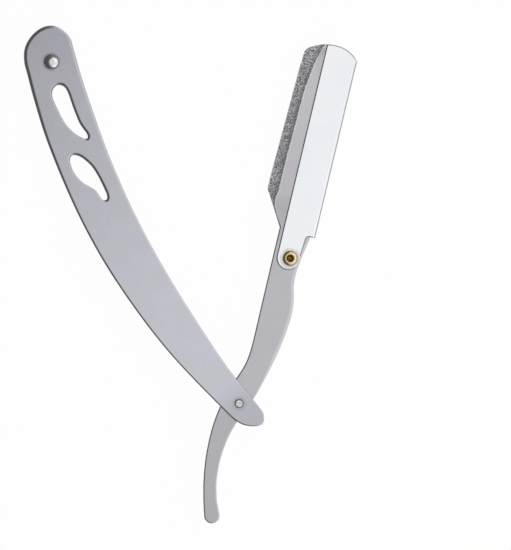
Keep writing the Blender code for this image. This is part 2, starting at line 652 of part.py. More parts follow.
def build_cover(pivot):
    """Folded sheet on its hollow rivet, with a washer under each end."""
    sheet = solid("swing_cover", folded_sheet(), POLISHED_STEEL, pivot)
    front = cutter("front_leaf_trim", leaf_trim(True), pivot)
    combine(front, cutter("back_leaf_trim", leaf_trim(False), pivot), "UNION")
    combine(sheet, front, "INTERSECT")
    solid("cover_rivet", turned(cover_rivet_profile()), BRASS, pivot)
    for name, side in (("cover_washer_front", 1), ("cover_washer_back", -1)):
        ends = sorted(MID_Z + side * h for h in (WASHER_IN, WASHER_OUT))
        solid(name, ring(COVER_TUBE_R + RUN, COVER_WASHER_R, *ends), NICKEL, pivot)


def main():
    for obj in list(bpy.data.objects):
        bpy.data.objects.remove(obj)
    build_handle()
    arm = frame("arm_pivot", (0, 0, 0), -REST_ANGLE)
    seat = along_edge(BLADE_Y, -BLADE_SHOW)
    pins = [side * PIN_NOTCH[0] for side in (-1, 1)]
    blade_arm = build_arm(arm, seat, pins)
    build_blade(blade_arm, frame("blade_seat", (seat.x, seat.y, 0), -EDGE_TILT, arm), pins)
    build_cover(frame("cover_pivot", (COVER_PIVOT_X, COVER_PIVOT_Y, 0), 0, arm))


main()
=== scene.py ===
import logging
import math
from contextlib import contextmanager
from dataclasses import dataclass, field, replace
from enum import Enum
from typing import Callable, Iterator, Mapping, Optional, Sequence, Union

import bmesh
import bpy
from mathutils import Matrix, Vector

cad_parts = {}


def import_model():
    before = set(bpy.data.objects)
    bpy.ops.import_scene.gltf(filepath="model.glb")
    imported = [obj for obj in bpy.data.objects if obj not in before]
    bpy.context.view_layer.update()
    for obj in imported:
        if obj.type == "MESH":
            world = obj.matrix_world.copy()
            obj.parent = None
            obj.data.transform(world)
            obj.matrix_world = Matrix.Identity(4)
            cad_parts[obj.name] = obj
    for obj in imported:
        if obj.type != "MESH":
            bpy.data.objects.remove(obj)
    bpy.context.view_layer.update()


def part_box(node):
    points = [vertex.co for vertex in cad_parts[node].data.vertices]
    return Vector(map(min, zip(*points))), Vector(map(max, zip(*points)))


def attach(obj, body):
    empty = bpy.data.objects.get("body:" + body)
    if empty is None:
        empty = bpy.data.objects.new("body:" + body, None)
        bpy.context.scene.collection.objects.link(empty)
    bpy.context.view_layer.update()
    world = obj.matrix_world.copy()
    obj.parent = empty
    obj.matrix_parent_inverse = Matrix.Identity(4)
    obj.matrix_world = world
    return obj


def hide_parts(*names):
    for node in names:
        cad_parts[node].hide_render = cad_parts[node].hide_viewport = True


log = logging.getLogger("razor")

Point = tuple[float, float]
Triple = tuple[float, float, float]
Profile = Sequence[Point]
Share = Callable[[Vector, Vector, float], float]      # of a rim's rounding, by place, way in and span of the loop

MM = 0.001
WELD = 0.001 * MM           # points that are nearer than this are one
MID_Z = 3.34 * MM           # middle plane of the razor, which lies on its rivets' heads
UP = Vector((0.0, 0.0, 1.0))
ALONG = Vector((0.0, 1.0, 0.0))                                          # the handle, from its pivot
DARK_SIDE = Vector((-0.8763, 0.4818, 0.0))                               # left in the photograph
REST_TURN = math.radians(42.2)
ALONG_ARM = math.radians(90) - REST_TURN
ARM_X = Vector((math.cos(REST_TURN), -math.sin(REST_TURN), 0.0))
ARM_Y = Vector((math.sin(REST_TURN), math.cos(REST_TURN), 0.0))
EDGE_TILT = math.radians(1.55)
EDGE_UP = ARM_X * math.sin(EDGE_TILT) + ARM_Y * math.cos(EDGE_TILT)      # along the cutting edge
EDGE_IN = ARM_X * math.cos(EDGE_TILT) - ARM_Y * math.sin(EDGE_TILT)      # and in from it
ACROSS_BED = math.atan2(EDGE_IN.y, EDGE_IN.x)
HEEL_Y = 66.45 * MM
HEEL = ARM_X * (-6.85 * MM) + ARM_Y * HEEL_Y                             # foot of that edge
LEFT_RIM_SHADE_LAYER = "rim"           # 0 on a plate's faces, up to 1 on rims that face DARK_SIDE, which take painted shade

# Width of the ground strip by height along the arm, in mm.
GRIND = ((55.65, 1.2), (57.4, 5.0), (58.3, 5.15), (60.0, 4.4), (62.2, 3.3), (64.8, 3.07), (66.45, 3.4),
         (78.45, 3.1), (99.1, 3.1), (107.1, 3.95), (112.6, 5.2), (117.1, 7.0))


class Body(Enum):
    """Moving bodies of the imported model."""

    HANDLE = "handle"
    ARM = "arm"
    COVER = "cover"
    BLADE = "blade"


class Slot(Enum):
    """Material slots of the record."""

    SATIN = "satin_steel"
    ARM = "arm_steel"
    BRIGHT = "bright_steel"
    BLADE = "blade_steel"
    POLISHED = "polished_steel"
    BRASS = "brass"
    NICKEL = "nickel_washer"


def on_arm(x: float, y: float) -> Point:
    """Shared x and y of a point of the arm, x towards its spine and y along it from the handle's pivot."""
    return tuple((ARM_X * x + ARM_Y * y).xy)


def on_bed(y: float, inward: float) -> Point:
    """Shared x and y of a point so far in from the cutting edge, whose foot on it is y along the arm."""
    return tuple((HEEL + EDGE_UP * ((y - HEEL_Y) / math.cos(EDGE_TILT)) + EDGE_IN * inward).xy)


def middle(low: Vector, high: Vector) -> Point:
    """Shared x and y of the middle of a box."""
    return (low.x + high.x) / 2, (low.y + high.y) / 2


def clamp(value: float, low: float, high: float) -> float:
    """Value kept between two limits."""
    return min(max(value, low), high)


def ramp(value: float, low: float, high: float) -> float:
    """Straight step from 0 at one value to 1 at another."""
    return clamp((value - low) / (high - low), 0.0, 1.0)


def shares(steps: int) -> list[float]:
    """Shares from 0 to 1 in even steps."""
    return [i / steps for i in range(steps + 1)]


def quarter(rise: float, run: float, steps: int = 8) -> list[Point]:
    """Distances in and up from the steep foot of a quarter ellipse to its flat top."""
    turns = [math.pi / 2 * i / steps for i in range(steps + 1)]
    return [(run * (1 - math.cos(t)), rise * math.sin(t)) for t in turns]


# ------------------------------------------------------------------ shading


class Wire:
    """Number or vector on a node's output, usable in arithmetic."""

    def __init__(self, shader: "Shader", socket: bpy.types.NodeSocket) -> None:
        """Keep the tree and the socket."""
        self.shader = shader
        self.socket = socket

    def __add__(self, other: "Value") -> "Wire":
        """Sum."""
        return self.shader.maths("ADD", self, other)

    def __sub__(self, other: "Value") -> "Wire":
        """Difference."""
        return self.shader.maths("SUBTRACT", self, other)

    def __rsub__(self, other: "Value") -> "Wire":
        """Difference from a plain number."""
        return self.shader.maths("SUBTRACT", other, self)

    def __mul__(self, other: "Value") -> "Wire":
        """Product."""
        return self.shader.maths("MULTIPLY", self, other)

    __radd__ = __add__
    __rmul__ = __mul__

    def sway(self, span: float) -> "Wire":
        """Noise from 0 to 1 swung about 0, over a span."""
        return (self - 0.5) * span


Value = Union[float, Wire]
Input = Union[float, Sequence[float], Wire]
Settings = Optional[Mapping[str, object]]
Sockets = Optional[Mapping[Union[str, int], Input]]


class Shader:
    """Node tree of one material or of the world."""

    def __init__(self, tree: bpy.types.NodeTree) -> None:
        """Start from an empty tree."""
        self.tree = tree
        tree.nodes.clear()

    def node(self, kind: str, settings: Settings = None, sockets: Sockets = None) -> bpy.types.Node:
        """Add a node.

        Args:
            kind: Blender's name of the node type, without its ShaderNode part.
            settings: properties, set first; "stops" are a ramp's (place, colour) pairs.
            sockets: values or wires of the inputs, by name or by number.

        Returns:
            The new node.
        """
        made = self.tree.nodes.new("ShaderNode" + kind)
        for name, value in (settings or {}).items():
            if name == "stops":
                stops = made.color_ramp.elements
                while len(stops) < len(value):
                    stops.new(0.5)
                for stop, (place, colour) in zip(stops, value):
                    stop.position = place
                    stop.color = (*colour, 1.0)
            else:
                setattr(made, name, value)
        for name, value in (sockets or {}).items():
            socket = made.inputs[name]
            if isinstance(value, Wire):
                self.tree.links.new(value.socket, socket)
            elif isinstance(value, (int, float)):
                socket.default_value = value
            else:
                socket.default_value = (*value, 1.0) if socket.type == "RGBA" else tuple(value)
        return made

    def wire(self, kind: str, output: Union[str, int] = 0, settings: Settings = None,
             sockets: Sockets = None) -> Wire:
        """Add a node and take one of its outputs, by name or by number."""
        return Wire(self, self.node(kind, settings, sockets).outputs[output])

    def maths(self, operation: str, *values: Value) -> Wire:
        """Math node on one to three numbers."""
        return self.wire("Math", 0, {"operation": operation}, dict(enumerate(values)))

    def vector(self, operation: str, *values: Input, output: str = "Vector") -> Wire:
        """Vector Math node on one or two vectors, whose result is a number on the output Value."""
        return self.wire("VectorMath", output, {"operation": operation}, dict(enumerate(values)))

    def place(self) -> Wire:
        """Place on the piece, in millimetres of the shared frame."""
        return self.vector("MULTIPLY", self.wire("TexCoord", "Object"), (1 / MM,) * 3)

    def along(self, place: Wire, direction: Vector) -> Wire:
        """Part of a place along a unit vector."""
        return self.vector("DOT_PRODUCT", place, direction, output="Value")

    def level(self, place: Wire) -> Wire:
        """Horizontal part of a place or direction."""
        return self.vector("MULTIPLY", place, (1.0, 1.0, 0.0))

    def length(self, offset: Wire) -> Wire:
        """Length of a vector."""
        return self.vector("LENGTH", offset, output="Value")

    def reach(self, place: Wire, centre: Point) -> Wire:
        """Distance in mm of a place from the vertical axis at a shared x and y."""
        return self.length(self.level(self.vector("SUBTRACT", place, (centre[0] / MM, centre[1] / MM, 0.0))))

    def stretched(self, place: Wire, turn: float, sizes: Triple) -> Wire:
        """Place measured in steps of a pattern, with its X axis turned and its sizes along the axes in mm."""
        turned = self.wire("VectorRotate", 0, {"rotation_type": "Z_AXIS"}, {"Vector": place, "Angle": -turn})
        return self.vector("DIVIDE", turned, sizes)

    def noise(self, place: Wire, size: float, *, detail: float, roughness: float = 0.6) -> Wire:
        """Soft noise from 0 to 1 in patches of a size, with a number of finer octaves of some strength."""
        return self.wire("TexNoise", "Fac", None, {"Vector": place, "Scale": 1 / size, "Detail": detail,
                                                   "Roughness": roughness})

    def step(self, value: Value, low: float, high: float, to_low: float = 0.0, to_high: float = 1.0) -> Wire:
        """Smooth step from one number at a low value to another at a high one."""
        return self.wire("MapRange", "Result", {"interpolation_type": "SMOOTHSTEP"},
                         {"Value": value, "From Min": low, "From Max": high, "To Min": to_low, "To Max": to_high})

    def mix(self, share: Value, first: Input, second: Input) -> Wire:
        """Blend of two colours by the share of the second."""
        return self.wire("Mix", 2, {"data_type": "RGBA"}, {0: share, 6: first, 7: second})

    def bump(self, height: Wire, depth: float) -> Wire:
        """Normal of a relief from 0 to 1 and its depth in metres."""
        return self.wire("Bump", 0, None, {"Height": height, "Distance": depth, "Strength": 1.0})


@dataclass(frozen=True)
class ShadeRing:
    """Ring of painted shade round a vertical axis.

    Attributes:
        centre: shared x and y of the axis.
        clear: radius in mm at which there is no painted shade.
        full: radius at which the ring is darkest.
        share: how much of the colour it hides there.
        wander: how far its border wanders, in mm.
    """

    centre: Point
    clear: float
    full: float
    share: float
    wander: float = 0.15


@dataclass(frozen=True)
class Finish:
    """Worked metal surface with patches of another tint, fine lines, small marks and painted shade.

    Attributes:
        name: material name.
        slot: record's slot.
        colour: main colour.
        patch: colour of the cloudy patches.
        patch_size: their size in mm.
        patch_step: noise at which their colour begins and is full.
        roughness: mean gloss of the surface.
        spread: how far the roughness wanders.
        lines: gap and length of the fine lines, in mm.
        line_height: height of their noise, in gaps.
        turn: direction of the lines about the vertical.
        depth: depth of the lines.
        mark_size: size of small marks, in mm.
        mark_share: how much they darken.
        mark_blend: parts that their noise and the lines' have in them.
        mark_step: noise at which they begin and are full.
        mark_cover: most of the colour that they hide.
        mark_relief: their height, where that of the lines is 1.
        shade_rings: rings of painted shade on it.
        shade_colour: colour of that painted shade.
        edge: colour of the painted shade along rims that face DARK_SIDE, which a plate marks.
        rim_shade_share: how much of that painted shade shows there.
        rim_shade_step: values of the plate's layer at which it begins and is full.
        shade_tones: direction, from and to in mm, and share by which painted shade darkens the surface along it.
    """

    name: str
    slot: Slot
    colour: Triple
    patch: Triple
    patch_size: float = 7.0
    patch_step: Point = (0.38, 0.62)
    roughness: float = 0.36
    spread: float = 0.06
    lines: Point = (0.09, 5.0)
    line_height: float = 4.0
    turn: float = 0.0
    depth: float = 0.0006 * MM
    mark_size: float = 0.45
    mark_share: float = 0.05
    mark_blend: Point = (0.6, 0.4)
    mark_step: Point = (0.62, 0.38)
    mark_cover: float = 0.25
    mark_relief: float = 0.4
    shade_rings: tuple[ShadeRing, ...] = ()
    shade_colour: Triple = (0.06, 0.058, 0.056)
    edge: Triple = (0.15, 0.15, 0.157)
    rim_shade_share: float = 0.0
    rim_shade_step: Point = (0.05, 0.4)
    shade_tones: tuple[tuple[Vector, float, float, float], ...] = ()

    def material(self) -> bpy.types.Material:
        """Material of this finish, made once.

        Returns:
            The material.
        """
        found = bpy.data.materials.get(self.name)
        if found:
            return found
        made = bpy.data.materials.new(self.name)
        made.use_nodes = True
        made.diffuse_color = (*self.colour, 1.0)
        shader = Shader(made.node_tree)
        colour, rough, normal = self.surface(shader)
        metal = shader.wire("BsdfPrincipled", 0, None, {"Base Color": colour, "Roughness": rough, "Normal": normal,
                                                        "Metallic": self.metallic(shader)})
        shader.node("OutputMaterial", None, {"Surface": metal})
        return made

    def metallic(self, shader: Shader) -> Value:
        """Share of the surface that shines as metal."""
        return 1.0

    def grain(self, shader: Shader, place: Wire) -> Wire:
        """Noise drawn out into the fine lines."""
        gap, length = self.lines
        sizes = (length, gap, self.line_height * gap)
        return shader.noise(shader.stretched(place, self.turn, sizes), 1.0, detail=3.0)

    def surface(self, shader: Shader) -> tuple[Wire, Wire, Wire]:
        """Colour, roughness and normal of the surface.

        Args:
            shader: tree to add to.

        Returns:
            The three wires.
        """
        place = shader.place()
        cloud = shader.step(shader.noise(place, self.patch_size, detail=3.0, roughness=0.55), *self.patch_step)
        grain = self.grain(shader, place)
        mark = shader.noise(place, self.mark_size, detail=2.0)
        colour = shader.mix(cloud, self.colour, self.patch)
        darkest = tuple(c * (1 - self.mark_share / self.mark_cover) for c in self.colour)
        part, rest = self.mark_blend
        marked = shader.step(mark * part + grain * rest, *self.mark_step, to_high=self.mark_cover)
        colour = shader.mix(marked, colour, darkest)
        # Painted shade: darker along each of these directions.
        for way, low, high, share in self.shade_tones:
            darker = shader.step(shader.along(place, way), low, high, to_high=share)
            colour = shader.mix(darker, colour, (0.0, 0.0, 0.0))
        # Painted shade on rims that face DARK_SIDE.
        if self.rim_shade_share:
            rim = shader.wire("Attribute", "Fac", {"attribute_name": LEFT_RIM_SHADE_LAYER})
            colour = shader.mix(shader.step(rim, *self.rim_shade_step) * self.rim_shade_share, colour, self.edge)
        # Painted shade in rings round the rivets and other axes.
        for shade_ring in self.shade_rings:
            distance = shader.reach(place, shade_ring.centre) + mark.sway(shade_ring.wander)
            colour = shader.mix(shader.step(distance, shade_ring.clear, shade_ring.full) * shade_ring.share, colour, self.shade_colour)
        rough = self.roughness + mark.sway(self.spread) + cloud.sway(self.spread)
        return colour, rough, shader.bump(grain + mark * self.mark_relief, self.depth)


@dataclass(frozen=True)
class GroundArm(Finish):
    """Arm's satin steel with the coarse ground strip along the front of its edge.

    Attributes:
        ground: colour of the strip.
        scratch: bright lines in it.
        scratch_step: noise at which they begin and are full.
        rub: size of the scratches along their three axes, in mm.
        rub_turn: their slant to the strip.
        speck: size of the specks between them, in mm.
        blend: parts that the noise of both has in the strip.
        dull: how much less metallic the strip looks.
        border: step of its inner edge, in mm inside it.
        front: how far below the middle plane its front begins and is full, in mm.
        tooth: size of the teeth of that edge along three axes, in mm.
        teeth: how far they reach, in mm.
        wider: how much wider the strip is than the wedge, in mm.
        lip: bright painted highlight along the strip's edge, broken into strokes by the teeth.
        lip_share: how much of that shows.
        lip_step: where it begins and is full, in mm inside the edge.
        lip_fade: where it grows weaker and ends.
        lip_wander: how far it wanders, in mm.
        deep_step: depth in mm inside the edge at which all scratches show, and at which the fewest do.
        deep_share: how many are lost there.
        deep_wander: how far that depth wanders, in mm.
        gloss: mean roughness of the strip, and how far it wanders.
        relief: height of the fine lines and of the scratches.
        relief_depth: depth of that relief, in depths of the lines.
    """

    ground: Triple = (0.135, 0.13, 0.138)
    scratch: Triple = (0.77, 0.76, 0.78)
    scratch_step: Point = (0.455, 0.545)
    rub: Triple = (0.8, 0.24, 0.46)
    rub_turn: float = 0.35
    speck: float = 0.27
    blend: Point = (0.5, 0.5)
    dull: float = 0.5
    border: Point = (-0.04, 0.06)
    front: Point = (0.62, 0.5)
    tooth: Triple = (2.2, 0.55, 0.8)
    teeth: float = 0.45
    wider: float = 0.08
    lip: Triple = (0.9, 0.9, 0.91)
    lip_share: float = 0.4
    lip_step: Point = (-0.4, -0.14)
    lip_fade: Point = (-0.08, 0.0)
    lip_wander: float = 0.5
    deep_step: Point = (1.9, 0.0)
    deep_share: float = 0.65
    deep_wander: float = 1.6
    gloss: Point = (0.5, 0.2)
    relief: Point = (0.05, 1.5)
    relief_depth: float = 20.0

    def inside(self, shader: Shader) -> tuple[Wire, Wire, Wire, Wire]:
        """Where the strip is.

        Args:
            shader: tree to add to.

        Returns:
            Depth in mm inside its wandering inner edge, the wandering, 1 on the arm's front, and 1 in the strip.
        """
        place, widest = shader.place(), 10.0
        depth = shader.along(place, EDGE_IN) - HEEL.dot(EDGE_IN) / MM
        first, last = GRIND[0][0], GRIND[-1][0]
        stops = [((y - first) / (last - first), (width / widest,) * 3) for y, width in GRIND]
        up = (shader.along(place, ARM_Y) - first) * (1 / (last - first))
        width = shader.wire("ValToRGB", 0, {"stops": stops}, {0: up}) * widest
        tooth = shader.noise(shader.stretched(place, ACROSS_BED, self.tooth), 1.0, detail=3.0, roughness=0.65)
        front = shader.step(shader.along(place, UP), *(MID_Z / MM - drop for drop in self.front))
        inside = width - depth + self.wider + tooth.sway(2 * self.teeth)
        return inside, tooth, front, shader.step(inside, *self.border) * front

    def metallic(self, shader: Shader) -> Value:
        """Metal all over, duller in the strip."""
        return 1.0 - self.inside(shader)[-1] * self.dull

    def surface(self, shader: Shader) -> tuple[Wire, Wire, Wire]:
        """Satin surface, and the coarse one in the strip.

        Args:
            shader: tree to add to.

        Returns:
            Colour, roughness and normal.
        """
        inside, tooth, front, strip = self.inside(shader)
        place = shader.place()
        rub = shader.noise(shader.stretched(place, ACROSS_BED - self.rub_turn, self.rub), 1.0, detail=2.0)
        speck = shader.noise(place, self.speck, detail=1.0)
        part, rest = self.blend
        coarse = shader.step(rub * part + speck * rest, *self.scratch_step)
        outside = 1.0 - shader.step(inside, *self.lip_fade)
        # Painted highlight just outside the strip's edge.
        lip = shader.step(inside + tooth.sway(self.lip_wander), *self.lip_step) * outside * front
        deep = shader.step(inside + rub.sway(self.deep_wander), *self.deep_step, to_high=self.deep_share)
        plain, rough, _ = Finish.surface(self, shader)
        worked = shader.mix(deep, shader.mix(coarse, self.ground, self.scratch), self.ground)
        colour = shader.mix(strip, shader.mix(lip * self.lip_share, plain, self.lip), worked)
        (mean, spread), (fine, rough_cut) = self.gloss, self.relief
        rough = rough * (1.0 - strip) + strip * (mean + speck.sway(spread))
        height = self.grain(shader, place) * (1.0 - strip) * fine + coarse * strip * rough_cut
        return colour, rough, shader.bump(height, self.relief_depth * self.depth)


@dataclass(frozen=True)
class BoredBrass(Finish):
    """Turned brass, with tarnish and painted shade down its bore and painted glints there.

    Attributes:
        centre: axis of the bore.
        bore: its radius in mm.
        mouth: how far outside that radius the tarnish and painted shade begin and are full.
        tarnish_and_shade: colour down the bore, tarnish and painted shade.
        painted_glint: colour of painted glints there.
        painted_glint_size: their size in mm.
        painted_glint_step: noise at which they begin and are full.
        duller: how much rougher the bore is.
    """

    centre: Point = (0.0, 0.0)
    bore: float = 1.03
    mouth: Point = (0.3, -0.02)
    tarnish_and_shade: Triple = (0.16, 0.085, 0.02)
    painted_glint: Triple = (0.75, 0.45, 0.13)
    painted_glint_size: float = 0.7
    painted_glint_step: Point = (0.45, 0.7)
    duller: float = 0.15

    def surface(self, shader: Shader) -> tuple[Wire, Wire, Wire]:
        """Brass, and the tarnish and painted shade inside the bore, with painted glints.

        Args:
            shader: tree to add to.

        Returns:
            Colour, roughness and normal.
        """
        colour, rough, normal = Finish.surface(self, shader)
        place = shader.place()
        inside = shader.step(shader.reach(place, self.centre), *(self.bore + out for out in self.mouth))
        # Tarnish and painted shade down the bore, with painted glints.
        patch = shader.step(shader.noise(place, self.painted_glint_size, detail=2.0), *self.painted_glint_step)
        bore = shader.mix(patch, self.tarnish_and_shade, self.painted_glint)
        return shader.mix(inside, colour, bore), rough + inside * self.duller, normal


RIVET = (0.0, 0.0)
END_RIVET = (0.0, 119.9 * MM)
PIVOT = on_arm(4.9 * MM, 47.05 * MM)                                     # of the cover
DOME_HIGHLIGHT = (END_RIVET[0] + 0.575 * MM, END_RIVET[1] - 0.636 * MM)      # middle of a painted highlight off the dome's middle, outside which painted shade darkens the dome
LIP_HIGHLIGHT = (PIVOT[0] + 0.39 * MM, PIVOT[1] - 0.22 * MM)                 # the same painted highlight on the cover's rivet
SHADED_END = (END_RIVET[0] + 3.5 * MM, END_RIVET[1] + 8.0 * MM)            # middle of a wide ring of painted shade at the handle's far end
BED_FOOT = on_arm(-0.5 * MM, 58.5 * MM)                                  # middle of a ring of painted shade at the foot of the bed

# Painted shade: rims that face DARK_SIDE, gradients towards both ends, rings round both rivets and a wide ring at
# the far end.
SATIN = Finish("satin_handle", Slot.SATIN, (0.605, 0.612, 0.68), (0.637, 0.636, 0.686),
               turn=math.radians(90), roughness=0.3, rim_shade_share=0.9,
               shade_tones=((ALONG, 25.0, 140.0, 0.26), (-ALONG, -8.0, 3.0, 0.17)),
               shade_rings=(ShadeRing(RIVET, 2.8, 1.4, 0.2), ShadeRing(END_RIVET, 3.1, 2.2, 0.48),
                      ShadeRing(SHADED_END, 15.0, 3.0, 0.05)))
# Painted shade: rims that face DARK_SIDE, gradients along the arm and a ring at the bed's foot.
ARM = GroundArm("satin_arm", Slot.ARM, (0.586, 0.581, 0.608), (0.61, 0.596, 0.626), patch_size=5.0,
                roughness=0.32, turn=ALONG_ARM, mark_size=0.35, mark_share=0.06, rim_shade_share=0.9,
                shade_tones=((-ARM_Y, -10.0, 14.0, 0.08), (-ARM_Y, -105.0, -68.0, 0.07)),
                shade_rings=(ShadeRing(BED_FOOT, 9.0, 3.5, 0.12),))
# Painted shade in a dark line down the outer side of the fold.
COVER = Finish("polished_cover", Slot.POLISHED, (0.855, 0.87, 0.895), (0.835, 0.865, 0.90), patch_size=9.0,
               roughness=0.14, spread=0.05, lines=(0.12, 9.0), turn=ALONG_ARM, depth=0.0001 * MM,
               mark_share=0.012, shade_tones=((ARM_X, 9.9, 10.5, 0.08), (ARM_X, 10.45, 10.75, 0.42)))
# Dark finish of the cover's cut edges and steep fold sides: the raw edge's own grey with painted shade, darker still
# towards the cover's left edge.
CUT_EDGE_AND_SHADE = Finish("cut_edge_and_shade", Slot.POLISHED, (0.32, 0.32, 0.33), (0.27, 0.27, 0.28), patch_size=1.5,
                  roughness=0.3, spread=0.1, lines=(0.05, 0.8), turn=ALONG_ARM, mark_size=0.3,
                  shade_tones=((-ARM_X, -2.2, -1.4, 0.6),))
BRIGHT = Finish("turned_steel", Slot.BRIGHT, (0.86, 0.86, 0.87), (0.6, 0.6, 0.62), patch_size=0.5,
                roughness=0.24, spread=0.1, lines=(0.08, 0.5), depth=0.002 * MM, mark_size=0.25, mark_share=0.1)
# Painted shade in a thin dark ring round the flat of the pivot rivet's head.
FLAT_HEAD = replace(BRIGHT, name="flat_rivet", colour=(0.84, 0.84, 0.86), patch=(0.36, 0.36, 0.375),
                    patch_size=0.4, shade_rings=(ShadeRing(RIVET, 1.04, 1.16, 0.95),))
# Painted shade round the dome's foot and over it outside an off-centre painted highlight.
DOMED_HEAD = replace(BRIGHT, name="domed_rivet", colour=(0.95, 0.95, 0.96), roughness=0.34,
                     shade_rings=(ShadeRing(END_RIVET, 1.85, 2.15, 0.6), ShadeRing(DOME_HIGHLIGHT, 1.3, 1.6, 0.82)))
# Painted shade round the lip's outer rim and over it outside an off-centre painted highlight; tarnish and painted
# shade down the bore.
BRASS = BoredBrass("brass_rivet", Slot.BRASS, (0.79, 0.685, 0.45), (0.71, 0.56, 0.30), patch_size=0.7,
                   roughness=0.22, spread=0.08, lines=(0.06, 0.6), depth=0.001 * MM, mark_size=0.3,
                   centre=PIVOT, shade_rings=(ShadeRing(PIVOT, 1.85, 2.2, 0.85), ShadeRing(LIP_HIGHLIGHT, 1.75, 2.15, 0.7)),
                   shade_colour=(0.12, 0.08, 0.035))
# Painted shade in rings next to the rivet's lip and at the washer's outer rim.
NICKEL = Finish("dull_nickel", Slot.NICKEL, (0.87, 0.86, 0.83), (0.73, 0.72, 0.68), patch_size=0.7,
                roughness=0.28, spread=0.06, lines=(0.07, 0.9), depth=0.002 * MM, mark_size=0.3, mark_share=0.08,
                shade_rings=(ShadeRing(PIVOT, 2.9, 2.15, 0.48), ShadeRing(PIVOT, 2.95, 3.2, 0.14)), shade_colour=(0.2, 0.17, 0.12))
BLADE = Finish("thin_blade", Slot.BLADE, (0.68, 0.69, 0.71), (0.64, 0.66, 0.7), patch_size=6.0,
               roughness=0.2, spread=0.05, lines=(0.05, 0.8), turn=-REST_TURN, depth=0.0006 * MM)


# ------------------------------------------------------------------ modelling


@dataclass(frozen=True)
class Rim:
    """Section along the edges of a plate.

    Attributes:
        width: reach of the full rounding in from the wall.
        drop: its depth below the face.
        section: (share of the reach, share of the depth) points, from the wall to the face.
    """

    width: float
    drop: float
    section: Profile


EASED = tuple((run, 1.0 - up) for run, up in quarter(1.0, 1.0, 9))
BROKEN = ((0.0, 1.0), (0.3, 0.3), (1.0, 0.0))
OUTLINE_CHORDS = 4          # chords that a plate's curve has for each one of its node
STRAIGHT_CUTS = 30          # cuts that keep a long chord straight
FLAT_TURN = math.radians(0.05)      # chords that turn less than this are one
LEFT_TURN = (0.4, -0.4)     # part along DARK_SIDE of the way in from a rim that doesn't face left, and that does


